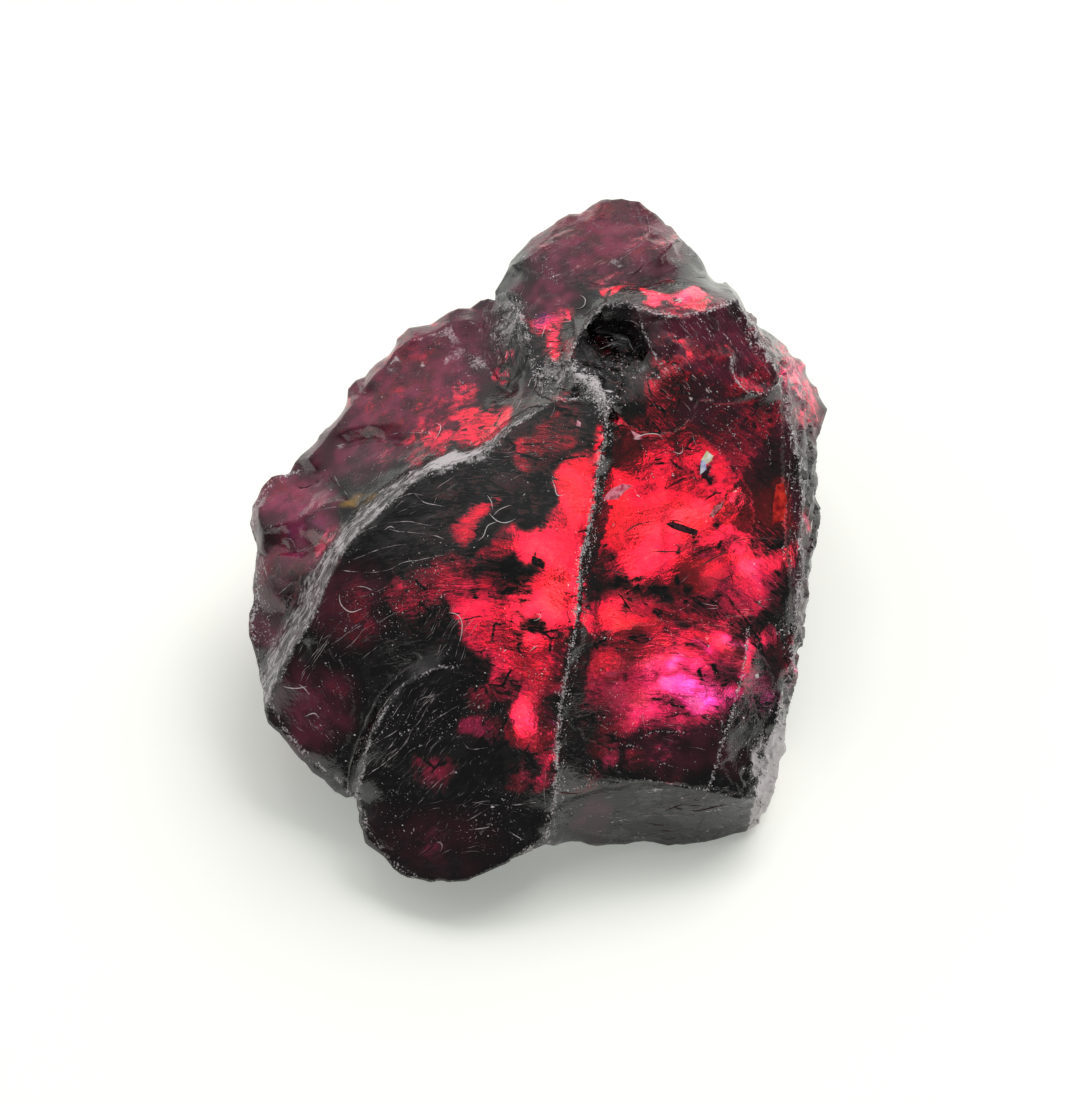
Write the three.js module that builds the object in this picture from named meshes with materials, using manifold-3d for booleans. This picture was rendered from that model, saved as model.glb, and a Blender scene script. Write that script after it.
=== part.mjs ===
// A rough painite: one piece of deep red, glassy gem crystal, broken out of its bed, with no crystal
// faces left. Every face of it is a fracture.
//
// The stone lies with its broad face up and forward. Its outline and its ridges are laid out on that
// face, in millimetres: u to the right, v up the face and w out of it. Two sheets are stretched over
// the ridges like film, one in front and one behind. They meet along the outline, and the sheet behind
// is cut off flat where the stone rests.
import Module from "manifold-3d";
import * as THREE from "three";
import { mergeVertices } from "three/addons/utils/BufferGeometryUtils.js";

const FACE_LEAN = THREE.MathUtils.degToRad(55); // the broad face's normal above the horizontal
const REST_DEPTH = 4.95; // how far the resting face lies below the middle of the broad face
const RIM_STEP = 0.24; // spacing of the points along the outline and along the ridges in front
const FRONT_STEP = 0.31; // spacing of the points between the ridges, in front
const BACK_STEP = 0.55; // the same behind, where the faces are plainer
const LONGEST_EDGE = 0.8; // steep faces get points of their own until no edge is longer
const CHIP = 0.025; // how far a broken edge strays from its line
const RELAX_ROUNDS = 500; // rounds in which the film between the ridges settles

// ---------------------------------------------------------------- outline

// The outline of the broad face, clockwise from the notch left of the peak, as [u, v, w].
const OUTLINE = [
  // the peak
  [-1.13, 6.02, -1.5], [-1.15, 6.25, -1.6], [-0.85, 6.75, -1.8], [-0.75, 7.0, -1.9], [-0.2, 7.58, -2.1],
  [0.45, 8.0, -2.2], [0.75, 8.18, -2.2], [1.02, 8.2, -2.2], [1.3, 8.45, -2.2], [1.55, 8.58, -2.2],
  [2.05, 8.6, -2.2], [2.5, 8.52, -2.2], [2.9, 8.2, -2.3], [3.3, 7.88, -2.3], [3.6, 7.52, -2.3],
  [4.0, 7.2, -2.4], [4.2, 6.85, -2.3], [4.45, 6.5, -2.1],
  // the shoulder of the right-hand block, and the thin lobe behind it
  [4.68, 6.48, -1.9], [4.95, 6.28, -1.9], [5.12, 5.98, -2.0], [5.3, 5.55, -2.3], [5.5, 5.42, -2.6],
  [6.0, 5.05, -3.0], [6.42, 4.7, -3.0], [6.7, 4.4, -2.9], [6.88, 4.0, -2.8], [7.05, 3.65, -2.7],
  [7.25, 3.3, -2.5], [7.15, 3.0, -2.2], [6.97, 2.5, -1.7],
  // the right side
  [6.93, 2.0, -1.4], [6.97, 1.1, -1.2], [7.02, 0.3, -1.1], [6.88, -0.4, -1.0], [6.78, -1.0, -1.0],
  [6.68, -2.0, -0.9], [6.55, -2.8, -0.9], [6.45, -3.45, -1.0], [6.3, -4.1, -1.1], [6.15, -4.8, -1.2],
  [6.1, -5.4, -1.1], [5.92, -6.1, -1.0], [5.7, -6.7, -0.9], [5.45, -7.05, -0.8],
  // the lower edge of the end face
  [5.15, -7.3, -0.7], [4.4, -7.5, -0.5], [3.6, -7.64, -0.4], [3.2, -7.66, -0.3], [2.6, -7.55, -0.3],
  [1.9, -7.62, -0.2], [1.4, -7.63, -0.1], [1.0, -7.53, 0.2], [0.5, -7.49, 0.7], [0.12, -7.45, 1.3],
  // the lower lobe
  [-0.3, -7.62, 1.55], [-0.75, -8.0, 1.55], [-1.3, -8.25, 1.5], [-1.85, -8.48, 1.4], [-2.7, -8.52, 1.2],
  [-3.3, -8.4, 1.05], [-3.65, -8.2, 0.95], [-3.85, -7.93, 0.9], [-4.25, -7.5, 0.8], [-4.38, -7.0, 0.75],
  [-4.45, -6.4, 0.6], [-4.58, -6.24, 0.35],
  // the lower left edge
  [-4.8, -6.3, 0.1], [-5.05, -6.2, 0.0], [-5.3, -5.9, 0.0], [-5.6, -5.72, -0.05], [-6.0, -5.3, -0.05],
  [-6.5, -4.8, -0.1], [-6.78, -4.57, -0.2], [-6.88, -4.25, -0.3],
  // the left side, with the thin flake at its top
  [-6.93, -3.75, -0.5], [-7.03, -3.35, -0.6], [-7.3, -2.4, -0.8], [-7.3, -1.85, -0.9], [-7.13, -1.4, -1.0],
  [-7.02, -0.55, -1.1], [-7.0, -0.25, -1.2], [-7.17, 0.0, -1.4], [-7.28, 0.4, -1.5], [-7.24, 0.85, -1.5],
  [-7.0, 1.3, -1.6], [-6.75, 1.6, -1.6], [-6.3, 1.68, -1.5],
  // the long scalloped edge up to the notch
  [-6.15, 1.98, -1.5], [-5.8, 2.3, -1.5], [-5.55, 2.6, -1.5], [-5.2, 3.0, -1.6], [-4.9, 3.4, -1.6],
  [-4.83, 3.8, -1.6], [-4.62, 4.02, -1.6], [-4.4, 4.1, -1.6], [-4.15, 4.42, -1.6], [-3.92, 4.58, -1.6],
  [-3.6, 5.05, -1.7], [-3.3, 5.32, -1.7], [-2.75, 5.42, -1.7], [-2.35, 5.68, -1.6], [-2.05, 5.81, -1.6],
  [-1.75, 5.82, -1.6], [-1.5, 6.02, -1.6], [-1.3, 6.06, -1.5],
];

// ---------------------------------------------------------------- ridges in front

// Crests and creases of the broad side. A step in the stone is a crest with its foot beside it.
const FRONT_LINES = {
  // the chipped crest down the middle, where the left-hand plate ends, and the foot of its step
  crest: [
    [1.75, 3.35, 2.75], [1.6, 2.9, 2.85], [1.56, 2.4, 2.9], [1.44, 1.8, 2.95], [1.38, 1.2, 3.0],
    [1.26, 0.6, 3.05], [1.15, 0.0, 3.05], [1.0, -0.5, 3.05], [0.97, -1.1, 3.05], [0.92, -1.7, 3.0],
    [0.84, -2.3, 2.95], [0.72, -3.0, 2.85], [0.58, -3.7, 2.75], [0.48, -4.3, 2.6], [0.42, -5.0, 2.45],
    [0.4, -5.7, 2.25], [0.38, -6.3, 2.0], [0.28, -6.9, 1.7], [0.12, -7.45, 1.3],
  ],
  crestFoot: [
    [2.0, 3.1, 2.45], [1.95, 2.5, 2.5], [1.85, 2.0, 2.52], [1.82, 1.5, 2.55], [1.88, 1.0, 2.55],
    [1.78, 0.5, 2.62], [1.64, 0.0, 2.65], [1.5, -0.5, 2.68], [1.38, -1.1, 2.7], [1.3, -1.7, 2.66],
    [1.24, -2.3, 2.6], [1.2, -3.0, 2.48], [1.14, -3.7, 2.36], [1.1, -4.3, 2.22], [1.13, -5.0, 2.05],
    [1.22, -5.6, 1.88], [1.2, -6.0, 1.75], [0.8, -6.2, 1.75],
  ],
  // the brow: the long curved edge of the left-hand plate, with a bevel falling to its foot
  brow: [
    [1.55, 3.55, 2.65], [1.0, 3.55, 2.5], [0.5, 3.5, 2.4], [0.1, 3.3, 2.3], [-0.3, 3.05, 2.2],
    [-0.7, 2.8, 2.15], [-1.1, 2.4, 2.15], [-1.5, 2.15, 2.15], [-2.0, 1.92, 2.1], [-2.5, 1.8, 2.05],
    [-3.0, 1.5, 2.0], [-3.4, 1.2, 1.95], [-3.8, 0.85, 1.9], [-4.2, 0.5, 1.8], [-4.6, 0.1, 1.7],
    [-4.95, -0.3, 1.55], [-5.2, -0.8, 1.4], [-5.4, -1.3, 1.25], [-5.6, -1.8, 1.1], [-5.85, -2.3, 0.9],
    [-6.15, -2.75, 0.7], [-6.45, -3.2, 0.45], [-6.65, -3.7, 0.15], [-6.8, -4.2, -0.3],
  ],
  browFoot: [
    [-0.4, 3.65, 1.25], [-0.78, 3.3, 1.3], [-1.12, 2.8, 1.4], [-1.5, 2.45, 1.45], [-2.0, 2.22, 1.45],
    [-2.6, 2.12, 1.35], [-3.2, 1.82, 1.15], [-3.8, 1.45, 0.95], [-4.25, 1.1, 0.8], [-4.6, 0.75, 0.7],
    [-5.0, 0.35, 0.55], [-5.3, -0.05, 0.45], [-5.5, -0.6, 0.35], [-5.75, -1.2, 0.25], [-6.0, -1.8, 0.1],
    [-6.3, -2.4, -0.05], [-6.65, -2.95, -0.25], [-6.9, -3.4, -0.5],
  ],
  // the edge of the lower lobe, which stands in front of the lower left face
  lobe: [
    [-2.0, -3.12, 2.4], [-2.5, -3.15, 2.35], [-3.0, -3.35, 2.2], [-3.4, -3.6, 2.05], [-3.7, -3.95, 1.9],
    [-3.95, -4.4, 1.85], [-4.2, -4.85, 1.75], [-4.35, -5.3, 1.55], [-4.42, -5.8, 1.3], [-4.48, -6.2, 0.95],
  ],
  lobeFoot: [
    [-3.0, -2.95, 1.95], [-3.5, -3.3, 1.6], [-3.95, -3.8, 1.25], [-4.3, -4.4, 1.0], [-4.55, -5.0, 0.75],
    [-4.72, -5.6, 0.5], [-4.75, -6.1, 0.2],
  ],
  cheek: [
    [-6.0, -2.95, 0.6], [-5.5, -3.05, 0.95], [-5.2, -3.5, 0.98], [-5.02, -4.2, 0.9], [-4.92, -5.0, 0.7],
    [-5.0, -5.7, 0.35],
  ],
  // the upper edge of the end face, low on the right
  endFace: [
    [0.4, -6.3, 2.0], [0.8, -6.2, 1.75], [1.2, -6.12, 1.7], [1.6, -6.0, 1.7], [2.2, -5.95, 1.65],
    [2.8, -6.0, 1.55], [3.4, -6.1, 1.4], [4.0, -6.2, 1.25], [4.5, -6.35, 1.05], [5.0, -6.45, 0.8],
    [5.4, -6.4, 0.45],
  ],
  endCorner: [[0.8, -6.2, 1.75], [0.8, -6.7, 1.35], [0.95, -7.2, 0.75], [1.05, -7.5, 0.2]],
  // the right-hand edge, where the broad side turns into the narrow right side
  rightEdge: [
    [4.95, 6.02, 0.4], [5.15, 5.6, 0.45], [5.45, 5.0, 0.45], [5.75, 4.5, 0.4], [6.0, 4.05, 0.35],
    [6.14, 3.5, 0.3], [6.25, 2.9, 0.25], [6.4, 2.3, 0.2], [6.52, 1.7, 0.15], [6.57, 1.0, 0.1],
    [6.55, 0.3, 0.05], [6.53, -0.4, 0.0], [6.48, -1.1, 0.0], [6.42, -1.8, 0.0], [6.38, -2.5, 0.0],
    [6.28, -3.1, 0.05], [6.1, -3.7, 0.1], [5.98, -4.3, 0.15], [5.8, -4.9, 0.2], [5.64, -5.4, 0.25],
    [5.48, -6.0, 0.3], [5.4, -6.4, 0.45], [5.42, -6.85, -0.3],
  ],
  // a low ridge down the right-hand plate, falling to a rough corner
  seam: [
    [5.35, -1.4, 0.8], [5.2, -2.2, 0.92], [5.12, -3.0, 1.0], [4.95, -3.7, 1.08], [4.76, -4.4, 1.15],
    [4.56, -5.0, 1.2], [4.42, -5.6, 1.2], [4.2, -6.2, 1.2],
  ],
  seamFoot: [
    [5.5, -2.3, 0.65], [5.4, -3.0, 0.72], [5.25, -3.7, 0.78], [5.06, -4.4, 0.85], [4.9, -5.0, 0.85],
    [4.8, -5.6, 0.85],
  ],
  cornerRight: [[5.06, -4.4, 0.85], [5.3, -4.7, 0.72], [5.7, -5.1, 0.2]],
  cornerRightLow: [[4.8, -5.6, 0.85], [5.05, -5.85, 0.8], [5.45, -5.95, 0.4]],
  shelf: [[5.35, -1.4, 0.8], [5.75, -1.65, 0.62], [6.1, -1.6, 0.4]],
  // the head of the right-hand plate: its upper edge, the arch on its left and the chipped knot below it
  head: [
    [4.95, 6.02, 0.4], [4.6, 5.88, 0.8], [4.2, 5.72, 1.1], [3.7, 5.6, 1.35], [3.2, 5.57, 1.5],
    [2.75, 5.62, 1.5], [2.45, 5.78, 1.4], [2.0, 5.92, 1.3], [1.6, 5.85, 1.35], [1.35, 5.58, 1.45],
    [1.15, 5.3, 1.55], [0.95, 5.05, 1.65], [0.8, 4.75, 1.75], [0.72, 4.45, 1.85], [0.8, 4.2, 2.05],
    [1.05, 3.95, 2.35], [1.35, 3.75, 2.6], [1.55, 3.55, 2.65], [1.75, 3.35, 2.75],
  ],
  arch: [[2.45, 5.78, 1.4], [2.52, 5.35, 1.5], [2.62, 4.95, 1.6], [2.88, 4.55, 1.7], [3.2, 4.15, 1.8]],
  archFloor: [[1.35, 5.2, 0.95], [1.8, 5.15, 0.8], [2.2, 5.05, 0.9], [2.35, 4.7, 1.1]],
  knot: [[1.75, 3.35, 2.75], [1.95, 3.6, 2.35], [2.1, 4.0, 1.9], [2.05, 4.4, 1.5]],
  knotChip: [[0.05, 4.15, 0.9], [0.4, 4.4, 1.35], [0.72, 4.45, 1.85]],
  knotChipLow: [[0.1, 3.75, 1.45], [0.5, 3.72, 2.05], [0.9, 3.62, 2.2], [1.35, 3.75, 2.6]],
  knotPit: [[1.6, 3.15, 2.3], [1.75, 3.02, 2.25]],
  hackles: [[2.9, 5.45, 1.45], [3.2, 5.0, 1.62], [3.5, 4.6, 1.7], [3.75, 4.15, 1.75], [3.9, 3.7, 1.75]],
  hacklesLow: [[3.15, 5.2, 1.4], [3.7, 4.95, 1.45], [4.2, 4.8, 1.35], [4.75, 4.55, 1.25]],
  headFoot: [
    [4.75, 6.3, -0.7], [4.2, 6.3, -0.1], [3.6, 6.2, 0.35], [3.0, 6.1, 0.6], [2.4, 6.15, 0.6],
    [1.8, 6.15, 0.6], [1.4, 5.95, 0.65], [1.1, 5.6, 0.75], [0.75, 5.2, 0.85], [0.5, 4.8, 1.0],
    [0.42, 4.4, 1.2], [0.5, 4.0, 1.5],
  ],
  // the peak, standing behind: its foot, the cornice under its striated top, and its right-hand facet
  peakFoot: [
    [-0.85, 6.2, -1.0], [-0.3, 6.1, -0.5], [0.3, 6.18, -0.2], [1.0, 6.35, 0.0], [1.5, 6.42, 0.05],
    [2.1, 6.25, 0.15], [2.7, 6.38, -0.1], [3.3, 6.52, -0.4], [3.9, 6.58, -0.8], [4.35, 6.52, -1.5],
  ],
  cornice: [
    [-0.7, 6.9, -1.45], [-0.3, 7.1, -1.15], [0.05, 6.88, -0.8], [0.6, 6.98, -0.65], [1.2, 6.9, -0.5],
    [1.7, 6.75, -0.35], [2.2, 6.82, -0.35], [2.7, 7.0, -0.45], [3.0, 7.15, -0.6], [3.3, 7.4, -0.95],
    [3.48, 7.55, -1.5],
  ],
  cornicePleat: [[0.05, 6.88, -0.8], [0.35, 6.62, -0.5], [0.65, 6.38, -0.15]],
  peakFacet: [[3.0, 7.15, -0.6], [3.35, 6.95, -0.95], [3.75, 6.78, -1.25], [4.15, 6.68, -1.6]],
  peakRib: [[2.0, 6.9, -0.4], [2.5, 7.35, -0.75], [2.85, 7.75, -1.35], [2.95, 7.95, -1.9]],
  peakFold: [[-0.3, 7.1, -1.15], [0.5, 7.55, -1.25], [1.3, 8.0, -1.55], [1.6, 8.4, -1.95]],
  // the rough flank below the peak, left of the glowing column
  flankFoot: [
    [-1.25, 5.75, -1.2], [-1.35, 5.3, -0.9], [-1.3, 4.8, -0.6], [-1.15, 4.45, -0.4], [-1.2, 4.1, -0.3],
    [-0.95, 3.8, 0.15], [-0.7, 3.68, 0.6],
  ],
  flank: [
    [-0.75, 5.95, -0.7], [-0.5, 5.6, -0.1], [-0.38, 5.3, 0.25], [-0.25, 4.9, 0.5], [-0.22, 4.5, 0.7],
    [-0.15, 4.1, 0.95], [-0.15, 3.8, 1.2], [0.1, 3.6, 1.6],
  ],
  flankFacet: [[-1.15, 4.45, -0.4], [-0.7, 4.55, 0.2], [-0.3, 4.6, 0.6]],
  // chipped scallops along the upper left edge, and two low ledges across the face below them
  scallops: [
    [-5.8, 2.05, -0.95], [-5.35, 2.55, -1.05], [-4.85, 3.2, -1.0], [-4.5, 3.65, -1.2], [-4.3, 3.95, -1.0],
    [-3.9, 4.3, -1.05], [-3.65, 4.75, -1.25], [-3.2, 5.02, -1.05], [-2.6, 5.2, -1.1], [-2.2, 5.45, -1.2],
    [-1.8, 5.5, -1.0], [-1.35, 5.3, -0.9],
  ],
  ledge: [[-5.1, 2.65, -1.0], [-4.6, 2.85, -0.65], [-4.0, 2.9, -0.2], [-3.3, 2.98, 0.15], [-2.6, 2.9, 0.55]],
  ledgeFoot: [[-4.8, 2.4, -0.95], [-4.2, 2.55, -0.5], [-3.6, 2.45, 0.0], [-3.0, 2.35, 0.6]],
  // the small facets of the left corner
  cornerTop: [
    [-6.35, 1.55, -1.35], [-5.98, 1.32, -1.1], [-5.55, 1.45, -0.85], [-5.28, 1.7, -0.75],
    [-4.95, 1.2, -0.1], [-4.65, 0.95, 0.45],
  ],
  cornerMid: [
    [-6.95, 0.25, -0.75], [-6.4, 0.42, -0.4], [-5.9, 0.62, -0.15], [-5.4, 0.85, 0.1], [-4.85, 0.95, 0.45],
  ],
  cornerLow: [[-6.9, -0.1, -0.9], [-6.35, -0.1, -0.75], [-6.05, -0.38, -0.55], [-5.5, -0.1, 0.05]],
  cornerFoot: [[-7.0, -1.3, -0.75], [-6.55, -1.35, -0.3], [-6.15, -0.95, -0.05], [-5.65, -0.75, 0.3]],
  cornerFlake: [[-7.02, 1.0, -0.95], [-7.05, 0.6, -0.9], [-6.95, 0.25, -0.75]],
  sideFold: [[-7.0, -3.0, -0.65], [-6.75, -2.55, -0.4], [-6.5, -2.05, -0.3], [-6.2, -1.6, 0.0]],
  // the thin lobe behind the right-hand edge
  lobeBehind: [[5.75, 5.0, -1.6], [6.15, 4.5, -1.5], [6.5, 3.9, -1.6], [6.65, 3.2, -1.4], [6.72, 2.5, -0.9]],
  // the bent chip edge on the right-hand plate, and the hollow that it rims
  chip: [
    [4.75, 4.55, 1.2], [4.8, 4.2, 1.2], [4.95, 3.88, 1.15], [5.3, 3.62, 1.0], [5.65, 3.66, 0.78],
    [5.88, 3.85, 0.55],
  ],
  chipFloor: [[5.0, 4.4, 0.92], [5.1, 4.05, 0.85], [5.4, 3.85, 0.72], [5.65, 3.95, 0.58]],
};

// Where a face swells or is hollow between its edges: [u, v, reach, rise].
const FRONT_SWELLS = [
  [-1.3, -0.6, 2.6, 0.2], [-3.4, -1.4, 2.0, 0.15], [-1.9, -5.8, 2.4, 0.15], [3.6, 0.4, 2.4, -0.15],
  [3.0, -3.6, 2.0, -0.12], [4.0, 5.1, 0.9, 0.1], [-2.8, 4.0, 1.6, -0.2], [1.4, 7.6, 1.1, 0.12],
  [-6.0, -4.3, 0.9, 0.06], [-6.1, -0.7, 0.6, 0.06], [-6.1, 1.0, 0.6, 0.06], [1.8, 4.6, 0.8, -0.2],
];

// ---------------------------------------------------------------- ridges behind

const BACK_LINES = {
  // a broken band round the stone, just inside the outline, where its sides turn under
  band: [
    [-1.0, 5.5, -3.4], [-0.5, 6.3, -3.0], [0.1, 7.1, -4.6], [1.2, 7.9, -4.0], [2.3, 7.9, -5.6],
    [3.4, 7.2, -4.2], [4.2, 6.2, -5.6], [5.0, 5.7, -4.4], [6.1, 4.8, -4.0], [6.6, 3.8, -5.4],
    [6.6, 2.8, -4.0], [6.2, 1.8, -5.2], [6.55, 0.8, -3.6], [6.3, -0.4, -4.8], [6.2, -1.4, -3.4],
    [5.7, -2.6, -4.2], [5.95, -3.8, -2.9], [5.4, -5.0, -3.2], [5.5, -6.1, -1.8], [4.9, -6.9, -1.2],
    [3.9, -7.0, -1.9], [2.6, -7.2, -1.0], [1.4, -7.0, -1.6], [0.2, -6.9, -0.7], [-1.0, -7.5, -0.9],
    [-2.2, -8.0, -0.4], [-3.2, -7.6, -1.0], [-3.9, -6.9, -0.8], [-4.2, -6.0, -2.0], [-5.2, -5.4, -1.6],
    [-5.9, -4.4, -2.7], [-6.6, -3.6, -1.9], [-6.6, -2.6, -3.0], [-6.95, -1.6, -2.2], [-6.4, -0.6, -3.5],
    [-6.85, 0.3, -2.6], [-6.2, 1.2, -3.6], [-5.5, 2.1, -2.9], [-5.0, 2.8, -4.2], [-4.2, 3.9, -3.1],
    [-3.6, 4.3, -4.4], [-2.8, 5.0, -3.2], [-1.9, 5.1, -4.2], [-1.0, 5.5, -3.4],
  ],
  // the ridges that run in from the band to the resting face
  keel: [[2.3, 7.9, -5.6], [1.9, 6.2, -7.4], [1.3, 4.4, -8.6], [0.9, 3.0, -9.2]],
  keelLeft: [[-3.6, 4.3, -4.4], [-2.6, 3.6, -5.4], [-1.4, 2.6, -8.0], [0.9, 3.0, -9.2]],
  keelRight: [[6.6, 3.8, -5.4], [5.2, 3.6, -6.6], [3.4, 2.9, -8.9], [0.9, 3.0, -9.2]],
  shoulder: [[-1.9, 5.1, -4.2], [-0.4, 4.6, -6.6], [1.3, 4.4, -8.6]],
  shoulderRight: [[4.2, 6.2, -5.6], [3.4, 5.0, -7.2], [1.3, 4.4, -8.6]],
  flankLeft: [[-6.4, -0.6, -3.5], [-5.2, 0.2, -4.6], [-4.2, 0.0, -6.0], [-3.4, -0.2, -7.0]],
  flankUpper: [[-5.0, 2.8, -4.2], [-4.2, 1.6, -5.6], [-4.2, 0.0, -6.0]],
  flankRight: [[6.3, -0.4, -4.8], [5.4, -0.6, -5.4], [3.8, -0.9, -7.0]],
  toeLeft: [[-5.2, -5.4, -1.6], [-4.0, -4.4, -3.6], [-2.4, -3.8, -5.2]],
  toeRight: [[5.4, -5.0, -3.2], [4.2, -4.8, -3.8], [2.8, -4.2, -5.4]],
};

const BACK_SWELLS = [
  [-3.6, 2.6, 1.2, 0.5], [0.4, 6.0, 1.2, 0.5], [3.6, 4.4, 1.2, 0.5], [5.2, 1.4, 1.4, 0.6],
  [-4.8, -2.4, 1.6, 0.6], [5.0, -2.6, 1.2, 0.5], [-0.8, 3.6, 1.0, -0.5],
];

// ---------------------------------------------------------------- mesh

// A repeatable number from -1 to 1 for a place on the face.
function scatter(u, v, seed) {
  const s = Math.sin(u * 127.1 + v * 311.7 + seed * 74.7) * 43758.5453;
  return 2 * (s - Math.floor(s)) - 1;
}

// Points every `step` along a line of corners, each strayed a little, as a broken edge is.
function alongLine(corners, step, closed = false) {
  const points = [];
  const last = closed ? corners.length : corners.length - 1;
  for (let i = 0; i < last; i++) {
    const a = corners[i];
    const b = corners[(i + 1) % corners.length];
    const pieces = Math.max(1, Math.round(Math.hypot(b[0] - a[0], b[1] - a[1]) / step));
    for (let k = 0; k < pieces; k++) {
      const point = a.map((value, axis) => value + ((b[axis] - value) * k) / pieces);
      if (k) for (let axis = 0; axis < 3; axis++) point[axis] += CHIP * scatter(point[0], point[1], axis);
      points.push(point);
    }
  }
  if (!closed) points.push([...corners[last]]);
  return points;
}

function isInside(u, v, loop) {
  let inside = false;
  for (let i = 0, j = loop.length - 1; i < loop.length; j = i++) {
    const [ui, vi] = loop[i];
    const [uj, vj] = loop[j];
    if (vi > v !== vj > v && u < ((uj - ui) * (v - vi)) / (vj - vi) + ui) inside = !inside;
  }
  return inside;
}

const isClear = (u, v, points, reach) => points.every((p) => Math.hypot(p[0] - u, p[1] - v) > reach);

// Delaunay triangles of [u, v] points, by adding one point at a time, as counter-clockwise triples.
function triangulate(points) {
  const far = 1e4;
  const all = [...points, [-far, -far], [far, -far], [0, far]];
  const circled = (a, b, c) => {
    const [ax, ay] = all[a];
    const [bx, by] = [all[b][0] - ax, all[b][1] - ay];
    const [cx, cy] = [all[c][0] - ax, all[c][1] - ay];
    const twice = 2 * (bx * cy - by * cx);
    const x = (cy * (bx * bx + by * by) - by * (cx * cx + cy * cy)) / twice;
    const y = (bx * (cx * cx + cy * cy) - cx * (bx * bx + by * by)) / twice;
    return { corners: [a, b, c], x: ax + x, y: ay + y, reach: x * x + y * y };
  };
  let triangles = [circled(points.length, points.length + 1, points.length + 2)];
  points.forEach(([u, v], index) => {
    const hole = new Map();
    triangles = triangles.filter((t) => {
      if ((t.x - u) ** 2 + (t.y - v) ** 2 >= t.reach) return true;
      for (let k = 0; k < 3; k++) {
        const [a, b] = [t.corners[k], t.corners[(k + 1) % 3]];
        if (!hole.delete(`${b},${a}`)) hole.set(`${a},${b}`, [a, b]);
      }
      return false;
    });
    for (const [a, b] of hole.values()) triangles.push(circled(a, b, index));
  });
  return triangles.map((t) => t.corners).filter((t) => t.every((corner) => corner < points.length));
}

// One sheet: the rim's points first, then the lines' and the points between them, whose depths settle
// to the mean of their neighbours' as a film's do, a little above it on a swell.
function stretchSheet(rim, lines, swells, lineStep, step) {
  const points = rim.map((p) => [...p]);
  const add = (p, reach) => {
    if (isInside(p[0], p[1], rim) && isClear(p[0], p[1], points, reach)) points.push([...p]);
  };
  for (const corners of Object.values(lines)) {
    for (const p of alongLine(corners, lineStep)) add(p, 0.45 * lineStep);
  }
  const held = points.length;
  const rowStep = (step * Math.sqrt(3)) / 2;
  for (let row = 0, v = -9; v < 9; row++, v += rowStep) {
    for (let u = -8 + (row % 2) * (step / 2); u < 8; u += step) {
      const p = [u + 0.12 * step * scatter(u, v, 5), v + 0.12 * step * scatter(u, v, 6), 0];
      add(p, 0.62 * step);
    }
  }
  const triangles = triangulate(points).filter((t) => {
    const [u, v] = [0, 1].map((axis) => t.reduce((sum, corner) => sum + points[corner][axis] / 3, 0));
    return isInside(u, v, rim);
  });
  const beside = neighbours(points, triangles);
  const push = points.map(([u, v]) =>
    swells.reduce((sum, [su, sv, reach, rise]) => {
      const inward = Math.max(0, 1 - Math.hypot(u - su, v - sv) / reach);
      return sum + 2 * rise * inward * (step / reach) ** 2;
    }, 0),
  );
  for (let round = 0; round < RELAX_ROUNDS; round++) {
    for (let i = held; i < points.length; i++) {
      let sum = 0;
      for (const j of beside[i]) sum += points[j][2];
      points[i][2] = sum / beside[i].size + push[i];
    }
  }
  return { points, triangles };
}

function neighbours(points, triangles) {
  const beside = points.map(() => new Set());
  for (const t of triangles) for (const a of t) for (const b of t) if (a !== b) beside[a].add(b);
  return beside;
}

// Halves every edge that is too long, longest first, until none is, and lets the new points settle.
function fillSteepFaces({ points, triangles }) {
  const length = ([a, b]) => Math.hypot(...points[a].map((value, axis) => value - points[b][axis]));
  const before = points.length;
  let long = [];
  do {
    const edges = new Map();
    triangles.forEach((t, index) => {
      for (let k = 0; k < 3; k++) {
        const ends = [t[k], t[(k + 1) % 3]].sort((a, b) => a - b);
        const edge = edges.get(ends.join()) ?? { ends, sides: [] };
        edge.sides.push(index);
        edges.set(ends.join(), edge);
      }
    });
    long = [...edges.values()].filter((edge) => length(edge.ends) > LONGEST_EDGE);
    long.sort((a, b) => length(b.ends) - length(a.ends));
    const changed = new Set();
    for (const { ends, sides } of long) {
      if (sides.some((index) => changed.has(index))) continue;
      const [a, b] = ends;
      const middle = points.push(points[a].map((value, axis) => (value + points[b][axis]) / 2)) - 1;
      for (const index of sides) {
        changed.add(index);
        const t = triangles[index];
        triangles[index] = t.map((corner) => (corner === a ? middle : corner));
        triangles.push(t.map((corner) => (corner === b ? middle : corner)));
      }
    }
  } while (long.length);
  const beside = neighbours(points, triangles);
  for (let round = 0; round < 8; round++) {
    for (let i = before; i < points.length; i++) {
      const mean = [0, 1, 2].map((axis) => {
        let sum = 0;
        for (const j of beside[i]) sum += points[j][axis];
        return sum / beside[i].size;
      });
      points[i] = points[i].map((value, axis) => (value + mean[axis]) / 2);
    }
  }
}

// From the broad face to the stone's own frame, with +Z up.
function toFrame([u, v, w]) {
  const [sin, cos] = [Math.sin(FACE_LEAN), Math.cos(FACE_LEAN)];
  return [u, v * sin - w * cos, v * cos + w * sin + REST_DEPTH];
}

const wasm = await Module();
wasm.setup();

function toSolid(geometry) {
  geometry.deleteAttribute("normal");
  geometry.deleteAttribute("uv");
  const merged = mergeVertices(geometry);
  return new wasm.Manifold(
    new wasm.Mesh({
      numProp: 3,
      vertProperties: merged.attributes.position.array,
      triVerts: merged.index.array,
    }),
  );
}

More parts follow.
